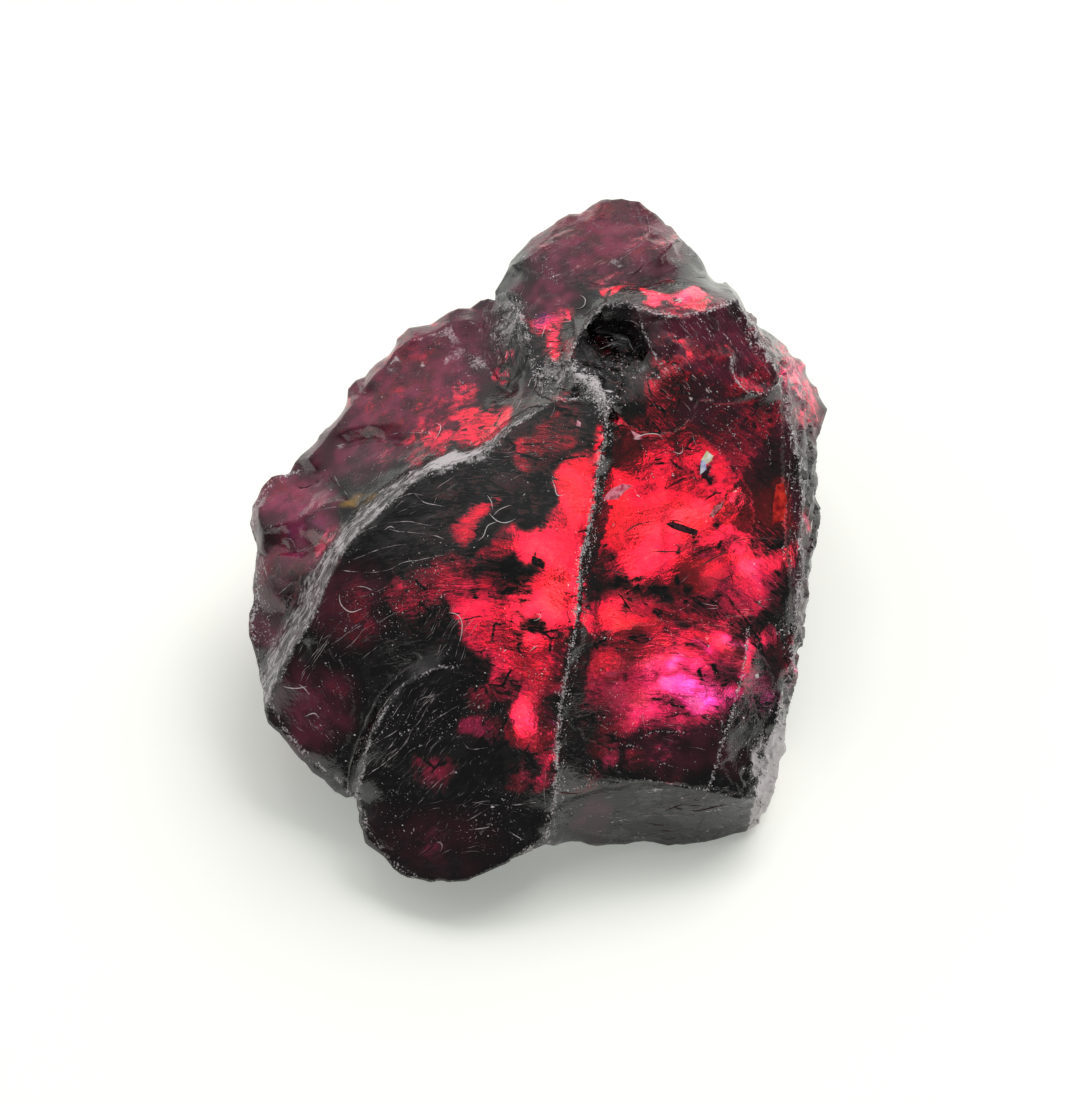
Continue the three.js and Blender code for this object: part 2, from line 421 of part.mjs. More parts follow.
function buildStone() {
  const rim = alongLine(OUTLINE, RIM_STEP, true);
  const front = stretchSheet(rim, FRONT_LINES, FRONT_SWELLS, RIM_STEP, FRONT_STEP);
  const back = stretchSheet(rim, BACK_LINES, BACK_SWELLS, BACK_STEP, BACK_STEP);
  fillSteepFaces(back);
  const points = [...front.points, ...back.points.slice(rim.length)].map(toFrame);
  const shift = front.points.length - rim.length;
  const behind = back.triangles.map((t) => t.map((i) => (i < rim.length ? i : i + shift)).reverse());
  const whole = new THREE.BufferGeometry();
  whole.setAttribute("position", new THREE.Float32BufferAttribute(points.flat(), 3));
  whole.setIndex([...front.triangles, ...behind].flat());
  // the resting face: everything below z = 0 is cut away
  const below = new THREE.BoxGeometry(40, 40, 10).translate(0, 0, -5);
  const cut = toSolid(whole).subtract(toSolid(below)).getMesh();
  const geometry = new THREE.BufferGeometry();
  geometry.setAttribute("position", new THREE.BufferAttribute(cut.vertProperties, 3));
  geometry.setIndex(new THREE.BufferAttribute(cut.triVerts, 1));
  geometry.computeBoundingBox();
  const { min, max } = geometry.boundingBox;
  geometry.translate(-(min.x + max.x) / 2, -(min.y + max.y) / 2, -min.z);
  geometry.computeVertexNormals();
  return geometry;
}

const stone = new THREE.Mesh(
  buildStone(),
  new THREE.MeshStandardMaterial({ color: 0x5a0f1c, roughness: 0.12, metalness: 0, flatShading: true }),
);
stone.name = "rough_crystal";

const group = new THREE.Group();
group.add(stone);
export default group;
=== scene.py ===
import math

import bmesh
import bpy
import numpy as np
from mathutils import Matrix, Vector
from mathutils.bvhtree import BVHTree


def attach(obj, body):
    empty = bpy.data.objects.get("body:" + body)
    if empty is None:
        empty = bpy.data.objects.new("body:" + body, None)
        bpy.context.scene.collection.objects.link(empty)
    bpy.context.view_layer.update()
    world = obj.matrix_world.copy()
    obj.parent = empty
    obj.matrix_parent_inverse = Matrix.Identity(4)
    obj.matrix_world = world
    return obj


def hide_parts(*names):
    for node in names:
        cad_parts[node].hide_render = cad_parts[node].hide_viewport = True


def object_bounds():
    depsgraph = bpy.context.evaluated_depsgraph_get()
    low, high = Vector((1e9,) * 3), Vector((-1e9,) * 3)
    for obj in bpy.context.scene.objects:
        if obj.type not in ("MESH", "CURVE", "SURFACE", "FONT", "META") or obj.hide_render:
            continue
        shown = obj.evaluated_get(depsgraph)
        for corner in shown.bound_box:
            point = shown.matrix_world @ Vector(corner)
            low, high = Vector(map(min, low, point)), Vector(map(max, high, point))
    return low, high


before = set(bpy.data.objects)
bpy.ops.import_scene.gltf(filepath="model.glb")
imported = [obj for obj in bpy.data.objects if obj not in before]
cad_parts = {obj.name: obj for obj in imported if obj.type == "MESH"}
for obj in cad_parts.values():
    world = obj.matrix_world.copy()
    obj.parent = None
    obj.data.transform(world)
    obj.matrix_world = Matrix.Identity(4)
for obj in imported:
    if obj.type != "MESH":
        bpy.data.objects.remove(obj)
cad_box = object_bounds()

# ------------------------------------------------------------------------------------------------
# The stone. Painite rough: a hard, glassy borate crystal, clear red where light gets through it and
# nearly black where none does. It was broken out of its bed, so its faces are conchoidal, like the
# broken faces of thick glass: curved shells with fine ribs and hackles, and chipped white edges.

MM = 0.001
FACE_LEAN = math.radians(35)            # the broad face leans back this much from lying flat
FACE_ORIGIN = (0.0302, -0.9670, 4.95)   # mm, the middle of the broad face


def face_frame(points):
    """Row-frame points in metres as (u, v, w) in mm: u right, v up the broad face, w out of it."""
    x, y, z = (points / MM - np.array(FACE_ORIGIN)).T
    c, s = math.cos(FACE_LEAN), math.sin(FACE_LEAN)
    return np.stack([x, y * c + z * s, z * c - y * s], axis=1)


def lattice(cell, seed):
    """One repeatable number in 0..1 for each whole-number cell: a sine hash of its three indices."""
    h = np.sin(cell @ np.array([127.1, 311.7, 74.7]) + seed * 17.13) * 43758.5453
    return h - np.floor(h)


def noise(p, size, seed):
    """Smooth value noise in -1..1: random corner values of cells `size` mm wide, blended by smoothstep."""
    q = p / size
    base = np.floor(q)
    f = q - base
    f = f * f * (3 - 2 * f)
    total = np.zeros(len(p))
    for corner in np.ndindex(2, 2, 2):
        weight = np.prod(np.where(corner, f, 1 - f), axis=1)
        total += weight * lattice(base + corner, seed)
    return 2 * total - 1


def shards(p, size, seed, lean=(0.0, 0.0, 0.0)):
    """Broken facets in about -1..1: each point takes the height of a plane, tilted at random and by the
    lean, through its nearest scattered seed, over the cell size."""
    base = np.floor(p / size)
    nearest = np.full(len(p), 1e9)
    height = np.zeros(len(p))
    for offset in np.ndindex(3, 3, 3):
        cell = base + np.array(offset) - 1
        centre = np.stack([lattice(cell, seed + k) for k in range(3)], axis=1)
        away = p / size - cell - centre
        gap = np.einsum("ij,ij->i", away, away)
        slope = np.stack([2 * lattice(cell, seed + 3 + k) - 1 + lean[k] for k in range(3)], axis=1)
        closer = gap < nearest
        nearest = np.where(closer, gap, nearest)
        height = np.where(closer, np.einsum("ij,ij->i", away, slope), height)
    return height


def spot(p, u, v, ru, rv, turn=0.0):
    """A soft ellipse on the broad face: 1 in the middle, 0 at ru and rv mm from it, turned by degrees."""
    a = math.radians(turn)
    du, dv = p[:, 0] - u, p[:, 1] - v
    along = (du * math.cos(a) + dv * math.sin(a)) / ru
    across = (dv * math.cos(a) - du * math.sin(a)) / rv
    t = np.clip(1 - (along ** 2 + across ** 2), 0, 1)
    return t * t * (3 - 2 * t)


def beside(p, line):
    """The distance in mm of each point from a run of straight pieces through (u, v) points, on which side
    it lies of the nearest one, positive to the right of its direction, and how far along the run."""
    best = np.full(len(p), 1e9)
    side = np.zeros(len(p))
    run = np.zeros(len(p))
    before = 0.0
    for start, end in zip(line[:-1], line[1:]):
        start, step = np.array(start), np.array(end) - np.array(start)
        length = np.linalg.norm(step)
        rel = p[:, :2] - start
        t = np.clip(rel @ step / length ** 2, 0, 1)
        gap = np.linalg.norm(rel - t[:, None] * step, axis=1)
        side = np.where(gap < best, np.sign(rel[:, 0] * step[1] - rel[:, 1] * step[0]), side)
        run = np.where(gap < best, before + t * length, run)
        best = np.minimum(best, gap)
        before += length
    return best, side, run


# The solid's faces are cut finer, its ridges kept, and the skin between the ridges is let settle.
RIDGE_ANGLE, CREASE_ANGLE = math.radians(30), math.radians(38)
BROAD_EDGE, BACK_EDGE, UNDER_EDGE = 0.13, 0.22, 0.3   # mm, the longest edges on each side
CUTTING_ROUNDS, SETTLING_ROUNDS = 7, 45
stone_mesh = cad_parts["rough_crystal"].data.copy()
stone_mesh.name = "stone"
stone_mesh.materials.clear()
bm = bmesh.new()
bm.from_mesh(stone_mesh)
bmesh.ops.remove_doubles(bm, verts=bm.verts, dist=0.002 * MM)
for edge in bm.edges:
    edge.smooth = edge.is_manifold and edge.calc_face_angle() < RIDGE_ANGLE


def longest_edge(middle):
    """The longest edge wanted at a place, in metres: fine on the broad side, coarser behind and under."""
    x, y, z = middle / MM - Vector(FACE_ORIGIN)
    if z < 0.02 - FACE_ORIGIN[2]:
        return UNDER_EDGE * MM
    out_of_face = z * math.cos(FACE_LEAN) - y * math.sin(FACE_LEAN)
    return (BROAD_EDGE if out_of_face > -2.0 else BACK_EDGE) * MM


for _ in range(CUTTING_ROUNDS):
    long_edges = [e for e in bm.edges if e.calc_length() > longest_edge((e.verts[0].co + e.verts[1].co) / 2)]
    if not long_edges:
        break
    bmesh.ops.subdivide_edges(bm, edges=long_edges, cuts=1, use_grid_fill=True)
    bmesh.ops.triangulate(bm, faces=[f for f in bm.faces if len(f.verts) > 3])
bm.to_mesh(stone_mesh)
bm.free()

count = len(stone_mesh.vertices)


def each_vertex(what):
    """The stone's vertex places (co) or outward directions (normal), one row per vertex."""
    values = np.empty(count * 3)
    stone_mesh.vertices.foreach_get(what, values)
    return values.reshape(-1, 3)


def move_vertices():
    """Puts the stone's vertices at the places worked out so far."""
    stone_mesh.vertices.foreach_set("co", place.ravel())
    stone_mesh.update()


place = each_vertex("co")
ends = np.empty(len(stone_mesh.edges) * 2, dtype=np.int64)
stone_mesh.edges.foreach_get("vertices", ends)
ends = ends.reshape(-1, 2)
is_sharp = np.zeros(len(stone_mesh.edges), dtype=bool)
stone_mesh.attributes["sharp_edge"].data.foreach_get("value", is_sharp)
on_ridge = np.zeros(count)
on_ridge[ends[is_sharp].ravel()] = 1
under = place[:, 2] < 0.01 * MM
valence = np.bincount(ends.ravel(), minlength=count)


def neighbour_mean(values):
    """Each vertex's mean of its neighbours' values, for one number or several per vertex."""
    columns = values.reshape(count, -1).T
    sums = [sum(np.bincount(a, weights=column[b], minlength=count) for a, b in (ends.T, ends.T[::-1]))
            for column in columns]
    return (np.stack(sums, axis=1) / valence[:, None]).reshape(values.shape)


loose = (on_ridge == 0) & ~under
for _ in range(SETTLING_ROUNDS):
    place[loose] = 0.4 * place[loose] + 0.6 * neighbour_mean(place)[loose]
near_ridge = on_ridge.copy()
for _ in range(3):
    near_ridge = np.maximum(near_ridge * 0.85, neighbour_mean(near_ridge))

move_vertices()
normal = each_vertex("normal")
p = face_frame(place)
u, v, w = p.T
front = np.clip((w + 2.2) / 0.8, 0, 1)

# The edges that are chipped white, as (u, v) points, with how far the chips reach each side in mm.
CREST = [(1.75, 3.35), (1.6, 2.9), (1.56, 2.4), (1.44, 1.8), (1.38, 1.2), (1.26, 0.6), (1.15, 0.0),
         (1.0, -0.5), (0.97, -1.1), (0.92, -1.7), (0.84, -2.3), (0.72, -3.0), (0.58, -3.7),
         (0.48, -4.3), (0.42, -5.0), (0.4, -5.7), (0.38, -6.3), (0.28, -6.9), (0.12, -7.4)]
BROW = [(1.55, 3.55), (0.5, 3.5), (-0.3, 3.05), (-0.7, 2.8), (-1.1, 2.4), (-1.5, 2.15), (-2.5, 1.8),
        (-3.0, 1.5), (-3.8, 0.85), (-4.6, 0.1), (-5.2, -0.8), (-5.6, -1.8), (-6.15, -2.75), (-6.8, -4.2)]
# the lobe's crest: its white chips stand partly for the highlight along it, a painted highlight
LOBE = [(-2.0, -3.12), (-2.5, -3.15), (-3.4, -3.6), (-3.95, -4.4), (-4.35, -5.3), (-4.48, -6.2)]
HEAD = [(4.95, 6.02), (4.2, 5.72), (3.2, 5.57), (2.45, 5.78), (1.6, 5.85), (1.15, 5.3), (0.8, 4.75),
        (0.72, 4.45), (0.8, 4.2), (1.05, 3.95), (1.35, 3.75), (1.75, 3.35)]
ARCH = [(2.45, 5.78), (2.52, 5.35), (2.88, 4.55), (3.2, 4.15)]
KNOT = [(0.05, 4.15), (0.4, 4.35), (0.72, 4.3), (1.1, 3.95), (1.5, 3.5), (1.62, 3.15)]
FLANK = [(-0.75, 5.95), (-0.5, 5.6), (-0.38, 5.3), (-0.25, 4.9), (-0.2, 4.4), (-0.1, 4.1)]
BENT_CHIP = [(4.75, 4.55), (4.8, 4.2), (4.95, 3.88), (5.3, 3.62), (5.65, 3.66), (5.88, 3.85)]
SEAM = [(5.2, -2.2), (5.12, -3.0), (4.95, -3.7), (4.76, -4.4), (4.56, -5.0), (4.2, -6.2)]
RIGHT_EDGE = [(4.95, 6.02), (5.45, 5.0), (6.0, 4.05), (6.25, 2.9), (6.52, 1.7), (6.57, 1.0), (6.53, -0.4),
              (6.42, -1.8), (6.28, -3.1), (5.98, -4.3), (5.64, -5.4), (5.4, -6.4)]
END_FACE = [(0.4, -6.3), (0.8, -6.2), (1.6, -6.0), (2.8, -6.0), (4.0, -6.2), (4.5, -6.35), (5.4, -6.4)]
LOWER_RIM = [(-4.5, -6.3), (-4.25, -7.2), (-3.6, -8.1), (-2.9, -8.5), (-1.9, -8.55), (-1.0, -8.2),
             (-0.3, -7.6), (0.1, -7.4)]
LEFT_RIM = [(-6.0, 1.75), (-6.7, 1.5), (-7.15, 0.9), (-7.25, 0.3), (-7.0, -0.4), (-6.95, -1.2), (-7.25, -2.0),
            (-7.05, -2.9), (-6.8, -3.9), (-6.4, -4.7), (-5.6, -5.5), (-4.7, -6.2)]
CHIPPED = [(CREST, 0.1), (BROW, 0.05), (LOBE, 0.05), (HEAD, 0.06), (ARCH, 0.05), (KNOT, 0.22), (FLANK, 0.07),
           (BENT_CHIP, 0.04), (SEAM, 0.05), (RIGHT_EDGE, 0.09), (END_FACE, 0.03), (LOWER_RIM, 0.06),
           (LEFT_RIM, 0.07)]
chip_gap = np.full(count, 9.0)
for line, reach in CHIPPED:
    chip_gap = np.minimum(chip_gap, beside(p, line)[0] / reach)
chip_gap = np.minimum(chip_gap, 1.0 + 6.0 * (1 - near_ridge))
worn = np.exp(-(chip_gap / 1.6) ** 2) * (0.3 + 0.7 * np.clip(0.5 + noise(p, 0.4, 15), 0, 1))
crest_gap, crest_side, _ = beside(p, CREST)
brow_gap, brow_side, brow_run = beside(p, BROW)
_, right_side, _ = beside(p, RIGHT_EDGE)
# the steep strip past the right-hand edge
strip = np.clip(-right_side, 0, 1) * (w > -2.2) * (u > 5.2)

# The bevel above the brow, painted white and grey, partly for its frost and partly as a painted reflection:
# its width in mm changes as it comes down the left side.
bevel_width = np.interp(v, [-4.2, -1.0, 0.0, 0.9, 2.0, 3.0], [0.65, 0.6, 0.4, 0.5, 0.34, 0.2])
bevel = (brow_side > 0) * (v < 3.3) * (w > -0.8) * np.clip((bevel_width - brow_gap) / 0.14, 0, 1)

# Which way the fracture's marks run, and how strong they are: (u, v, ru, rv, turn, direction, strength).
GRAIN = [
    (1.6, 7.6, 2.8, 1.5, 0, 30, 0.8), (-3.2, 3.7, 3.0, 1.7, 40, 20, 0.3), (-6.1, 0.3, 1.3, 1.6, 0, 35, 0.3),
    (-0.85, 5.1, 0.75, 1.3, 0, 100, 0.8), (0.25, 5.0, 0.7, 1.3, 0, 2, 1.0),
    (1.1, 3.85, 1.4, 0.6, 0, 160, 0.8), (1.8, 5.0, 0.9, 0.9, 0, 20, 0.5),
    (4.2, 4.9, 2.2, 1.6, -20, -54, 0.8), (2.9, 3.7, 1.2, 1.3, 0, -50, 0.5),
    (3.0, 0.6, 2.6, 2.4, 0, 14, 0.15), (3.2, -3.8, 3.0, 2.0, 0, -6, 0.35),
    (4.9, -4.6, 0.7, 2.0, 12, 76, 0.35), (3.0, -6.8, 3.0, 0.8, 0, 6, 0.8),
    (-2.6, -5.6, 2.4, 2.8, 0, 48, 0.4), (-5.9, -4.2, 1.4, 1.9, 0, -50, 0.2),
    (3.0, 6.05, 1.6, 0.45, 0, 18, 0.9), (6.5, 0.8, 0.45, 4.6, 3, 84, 1.0),
]
# elsewhere they lie on arcs round the point that the fracture opened from
OPENED_U, OPENED_V, ARC_RADIUS = -1.6, -9.5, 9.0   # mm
grain_along = ARC_RADIUS * np.arctan2(u - OPENED_U, v - OPENED_V)
grain_across = np.hypot(u - OPENED_U, v - OPENED_V)
grain_strength = 0.45 * np.clip(1 - spot(p, 0.4, -0.5, 2.0, 3.4), 0, 1)
best, second = np.full(count, 0.12), np.zeros(count)
for gu, gv, ru, rv, turn, direction, strength in GRAIN:
    reach = spot(p, gu, gv, ru, rv, turn)
    closer = reach > best
    a = math.radians(direction)
    grain_along = np.where(closer, u * math.cos(a) + v * math.sin(a), grain_along)
    grain_across = np.where(closer, v * math.cos(a) - u * math.sin(a), grain_across)
    grain_strength = np.where(closer, strength, grain_strength)
    second = np.where(closer, best, np.maximum(second, reach))
    best = np.maximum(best, reach)
grain_strength *= np.clip((best - second) / 0.15, 0, 1)
grain_along = np.where(bevel > 0, brow_run, grain_along)
grain_across = np.where(bevel > 0, brow_gap, grain_across)
grain_strength = np.where(bevel > 0, bevel, grain_strength)
grain = np.stack([grain_along, grain_across, w], axis=1)


def strongest(spots):
    """The strongest of some soft spots at each vertex, each given as (strength, u, v, ru, rv, turn)."""
    return np.maximum.reduce([strength * spot(p, *where) for strength, *where in spots])


# The skin's relief, in mm out of the face: swells as (height, width, seed), then ripples along the grain.
SWELLS = [(0.028, 1.3, 1), (0.012, 0.45, 2), (0.004, 0.2, 4)]
lift = sum(height * noise(p, width, seed) for height, width, seed in SWELLS)
lift += 0.013 * grain_strength * noise(grain / np.array([3.0, 1.0, 2.0]), 0.26, 3)
head = spot(p, 4.2, 4.9, 2.2, 1.5, -20)
lift += 0.035 * head * shards(grain / np.array([1.8, 1.0, 1.5]), 0.36, 11)
lift += 0.05 * spot(p, 1.6, 7.6, 2.6, 1.4) * shards(grain / np.array([2.2, 1.0, 1.5]), 0.55, 12)
broken = strongest([(1, 1.2, 3.9, 1.5, 0.7), (1, -0.7, 5.0, 0.7, 1.3), (1, 5.0, -5.4, 0.9, 1.1),
                    (0.4, 4.6, 0.9, 1.2, 0.9), (0.35, 5.2, -1.9, 1.0, 0.7)])
lift += 0.07 * broken * shards(p, 0.33, 21)
rugged = strongest([(0.35, -3.4, 3.6, 3.2, 1.9, 40), (0.6, -6.2, 0.2, 1.2, 1.9), (0.45, 1.4, 7.6, 2.6, 1.6)])
rugged = np.maximum(rugged, 2.0 * strip)
lift += rugged * (0.05 * shards(p, 0.7, 35) + 0.04 * shards(p, 0.35, 36))
# the low edges of the lobe, the cheek and the left corner are drawn up, by the first number in mm
DRAWN_UP = [(0.16, -4.1, -6.8, 1.1, 1.2), (0.11, -5.6, -5.9, 1.6, 1.1, -35), (0.17, -6.5, -0.8, 1.1, 1.1),
            (0.14, 0.0, -7.6, 0.8, 0.9)]
lift += sum(height * spot(p, *where) for height, *where in DRAWN_UP)
bite = np.clip(noise(p, 0.22, 13) + 0.25, 0, 1) + 0.6 * np.clip(noise(p, 0.13, 14), 0, 1)
lift -= (0.02 * near_ridge + 0.05 * worn) * bite
lift = front * lift + (1 - front) * (0.05 * shards(p, 1.3, 31) + 0.02 * noise(p, 0.5, 32))
place += normal * (lift * MM)[:, None] * ~under[:, None]

# The underside is broken too: facets that rise from the plane it rests on, mostly sloping up to the back.
inner = np.clip(neighbour_mean(neighbour_mean(under.astype(float))) * 2 - 1, 0, 1)
for _ in range(6):
    inner = np.minimum(inner, neighbour_mean(inner))
q = place / MM
facets = shards(q * np.array([1, 1, 0.3]), 1.5, 41, (0, 1.0, 0))
rise = inner * (0.34 + 0.36 * facets + 0.05 * noise(q, 0.7, 42))
place[under, 2] += np.clip(rise, 0, 1)[under] * MM

low, high = (np.array(corner) for corner in cad_box)
place = np.clip(place, low, high)
move_vertices()
stone_mesh.polygons.foreach_set("use_smooth", np.ones(len(stone_mesh.polygons), dtype=bool))
stone_mesh.set_sharp_from_angle(angle=CREASE_ANGLE)


def show(name, data):
    """A new object of the scene, at the origin, for a mesh, a light or a camera."""
    made = bpy.data.objects.new(name, data)
    bpy.context.scene.collection.objects.link(made)
    return made


stone = show("Stone", stone_mesh)

# Colour zones, held in the crystal from front to back: how freely red light passes, and how much violet
# passes with it, as soft spots (u, v, ru, rv, strength) and a turn in degrees where there is one.
BRIGHT = [
    # right-hand plate, from the knot down to the end face
    (5.2, 2.9, 1.3, 1.6, 0.3), (2.9, 1.95, 1.5, 0.8, 0.42), (2.1, 2.5, 0.6, 0.7, 0.4),
    (3.2, 2.8, 0.9, 0.5, 0.42, -30), (3.95, 2.35, 1.2, 0.24, 0.78, -55), (4.6, 1.6, 0.5, 0.4, 0.5),
    (2.6, 0.35, 1.55, 1.15, 1.0, 8), (3.5, 0.8, 1.3, 0.9, 0.85), (2.0, 1.35, 0.6, 0.6, 0.85),
    (2.0, 0.0, 0.5, 0.9, 0.9), (5.15, 1.25, 0.4, 0.3, 0.8), (4.5, 0.6, 0.5, 0.45, 0.55),
    (5.0, 0.8, 0.7, 0.7, 0.6), (5.95, 0.8, 0.35, 0.8, 1.0), (5.6, 0.6, 0.5, 0.8, 0.45),
    (5.2, -0.75, 0.8, 0.8, 1.0, 20), (4.1, -0.7, 0.8, 0.7, 0.95, 15), (3.3, -0.7, 0.9, 0.4, 0.75, 10),
    (6.1, -0.6, 0.4, 0.5, 0.5), (4.9, -1.6, 0.9, 0.35, 0.35, -10), (1.9, -1.85, 0.85, 0.55, 0.97, -22),
    (2.7, -2.3, 0.75, 0.3, 0.85, -25), (2.3, -3.0, 1.2, 0.5, 0.9), (4.2, -2.55, 1.0, 0.35, 0.78, -8),
    (3.3, -3.1, 1.2, 0.4, 0.55, -10), (5.0, -2.85, 0.45, 0.55, 0.9), (2.2, -3.8, 1.2, 0.45, 0.88, 8),
    (3.4, -3.75, 0.7, 0.3, 0.9, -15), (4.1, -4.05, 0.6, 0.4, 1.0, -12), (4.9, -3.7, 0.3, 0.6, 0.45),
    (2.0, -4.5, 1.0, 0.55, 0.5), (3.0, -4.4, 0.9, 0.4, 0.35, -30), (1.6, -5.2, 0.5, 0.6, 0.35),
    (2.5, -5.55, 0.5, 0.25, 0.55), (3.2, -5.7, 0.5, 0.25, 0.3), (5.7, -2.5, 0.35, 0.5, 0.45, 25),
    (6.25, -3.4, 0.3, 0.2, 0.75, 30), (6.1, -2.9, 0.5, 0.4, 0.3), (3.8, 0.3, 3.2, 3.2, 0.3),
    (3.2, -3.6, 2.9, 2.0, 0.34), (5.1, 1.2, 0.4, 0.35, 0.85), (1.15, -1.95, 0.35, 0.6, 0.7),
    (3.9, -1.95, 0.9, 0.35, 0.45, -10), (4.0, 4.6, 2.0, 1.7, 0.28), (3.3, 3.7, 1.2, 0.9, 0.2, -30),
    (1.2, -5.9, 0.5, 0.3, 0.3),
    # left of the crest, down to the lobe
    (0.9, 1.1, 0.6, 1.38, 0.95, -10), (0.45, -0.9, 0.85, 1.9, 1.0), (-0.5, -0.1, 0.7, 0.5, 0.62),
    (-1.65, 0.45, 0.28, 0.8, 0.75, -28), (-0.9, -0.4, 0.8, 0.4, 0.4, 10), (-1.1, -1.9, 1.0, 1.0, 0.58),
    (-0.3, -3.0, 1.1, 0.7, 0.58), (1.85, 0.5, 0.65, 1.3, 0.95), (1.95, 1.9, 0.6, 0.6, 0.65),
    (5.9, 0.85, 0.42, 0.85, 0.97), (4.5, -0.85, 1.3, 0.5, 0.88), (2.0, -3.05, 1.1, 0.4, 0.88, -5),
    (2.0, -4.05, 1.0, 0.32, 0.84, 5), (4.9, -2.8, 0.6, 0.35, 0.92), (0.2, -1.4, 0.7, 1.0, 0.9),
    (0.0, -3.6, 0.7, 0.5, 0.5), (-0.25, -4.5, 0.5, 0.9, 0.95), (0.1, -5.4, 0.4, 0.8, 0.42),
    (-1.35, -4.7, 0.7, 0.5, 0.3), (-1.0, -3.7, 0.8, 0.5, 0.35), (-2.45, -5.6, 0.45, 0.6, 0.34, 15),
    (-0.55, -6.0, 0.5, 0.6, 0.36), (-3.0, -7.4, 1.4, 0.7, 0.08), (-2.4, -8.0, 0.9, 0.4, 0.12),
    (-4.9, -1.8, 0.9, 0.9, 0.28), (-2.9, -1.2, 1.3, 0.8, 0.25, 8), (-2.0, -0.9, 0.7, 0.7, 0.3),
    (-5.1, -3.6, 0.3, 0.65, 0.65, 25), (-5.6, -4.3, 0.9, 1.0, 0.22), (-0.2, 2.3, 0.9, 0.5, 0.22, 20),
    (0.5, 2.9, 0.7, 0.6, 0.2),
    # behind the brow, the left corner and the peak
    (-1.6, 2.8, 0.9, 0.5, 0.42, 30), (-1.9, 3.7, 0.4, 0.7, 0.16), (-3.0, 3.25, 0.25, 0.45, 0.65),
    (-2.6, 2.3, 0.9, 0.3, 0.3, 30), (-3.2, 3.8, 3.0, 1.6, 0.38, 40), (-6.0, -0.3, 1.2, 1.0, 0.95, 25),
    (-6.3, 1.0, 0.9, 0.5, 0.4), (-5.6, 0.35, 0.6, 0.45, 0.7, 30), (-6.1, 1.0, 0.9, 0.45, 0.42, 10),
    (-6.0, -1.6, 0.5, 0.5, 0.4), (-6.9, -2.4, 0.25, 0.35, 0.5), (1.6, 7.7, 2.6, 1.5, 0.5),
    (3.3, 6.02, 1.1, 0.27, 0.82, -8), (2.0, 6.3, 0.8, 0.14, 0.65, -5), (3.9, 5.9, 0.5, 0.25, 0.5, -20),
    (0.25, 5.55, 0.9, 0.3, 0.75, 5), (0.35, 4.9, 0.35, 0.75, 0.62), (-0.8, 4.05, 0.45, 0.4, 0.45),
    (6.4, 4.2, 0.6, 0.9, 0.6, 20), (6.7, 3.3, 0.4, 0.6, 0.5), (6.6, 0.5, 0.25, 0.5, 0.6),
]
DARK = [
    (1.9, -1.05, 0.75, 0.22, 1.0, -8), (2.9, -1.6, 0.75, 0.3, 1.0, -30), (3.7, -2.15, 0.6, 0.2, 0.9, -28),
    (4.3, -2.8, 0.5, 0.15, 0.5, -20), (4.3, -1.55, 1.0, 0.3, 0.5, -5), (5.6, -1.8, 0.6, 0.6, 0.8),
    (5.9, -3.3, 0.5, 0.9, 0.6), (4.35, -3.3, 0.6, 0.3, 0.7), (3.9, -5.1, 1.1, 0.6, 0.6),
    (3.3, -3.42, 0.7, 0.14, 0.5, -5), (-1.75, 3.7, 0.5, 0.5, 0.5), (4.7, 0.35, 0.35, 0.2, 0.5),
    (4.3, 0.75, 0.35, 0.1, 0.8, 50), (4.75, -0.85, 0.2, 0.35, 0.6), (-1.2, -0.75, 0.9, 0.2, 0.5, 8),
    (-0.9, -3.75, 0.9, 0.25, 0.4, 10), (0.1, 2.4, 0.9, 0.7, 0.75, 30), (0.8, 3.0, 0.7, 0.5, 0.8),
    (-3.4, -0.5, 1.9, 1.5, 0.5, 20), (-2.4, 1.2, 1.2, 0.6, 0.6, 25), (-1.6, 1.7, 1.2, 0.8, 0.75, 30),
    (0.1, 1.9, 0.6, 0.7, 0.5), (3.5, 7.15, 0.5, 0.3, 0.9, 20), (4.95, -4.4, 0.5, 1.4, 0.7, 10),
    (5.2, 2.2, 1.0, 0.8, 0.4), (1.8, 5.0, 1.4, 1.2, 1.0), (1.9, 4.7, 1.3, 1.3, 1.0),
    (1.6, 4.2, 1.2, 1.1, 0.95, -40), (3.0, -7.0, 3.2, 0.9, 0.9), (5.2, -5.4, 0.7, 1.1, 0.7),
]
VIOLET = [
    (4.1, -4.05, 0.7, 0.4, 1.0, -12), (3.5, -3.8, 0.4, 0.24, 1.0, -15), (3.5, -3.1, 0.3, 0.18, 0.9),
    (1.65, -3.12, 0.28, 0.12, 1.0), (4.2, -0.15, 0.35, 0.15, 1.0, 15), (4.0, -2.75, 0.25, 0.12, 0.8),
    (5.0, -2.6, 0.25, 0.25, 0.6), (5.3, -0.7, 0.5, 0.5, 0.35), (0.15, -4.25, 0.2, 0.15, 1.0),
    (3.45, 6.15, 0.4, 0.15, 1.0), (-0.2, 5.62, 0.5, 0.2, 1.0), (3.2, 6.0, 1.2, 0.35, 0.4),
    (0.4, 5.2, 0.8, 0.9, 0.4), (-6.0, 0.0, 1.2, 1.3, 0.35), (-0.8, 4.1, 0.5, 0.5, 0.7),
    (6.3, 4.0, 0.7, 1.3, 0.5), (2.4, -3.8, 2.0, 1.2, 0.2), (6.0, -3.3, 0.8, 1.5, 0.6),
    (6.5, 0.3, 0.3, 0.5, 0.9), (-1.35, -4.7, 0.6, 0.5, 0.35), (-2.4, -5.7, 0.5, 0.5, 0.2),
    (-2.6, -7.9, 1.0, 0.5, 0.1), (5.15, 1.2, 0.35, 0.25, 0.6),
]


def overlay(points, spots):
    """Soft spots laid over each other: one minus the product of what each leaves."""
    left = np.ones(len(points))
    for su, sv, ru, rv, strength, *turn in spots:
        left *= 1 - strength * spot(points, su, sv, ru, rv, *turn)
    return 1 - left


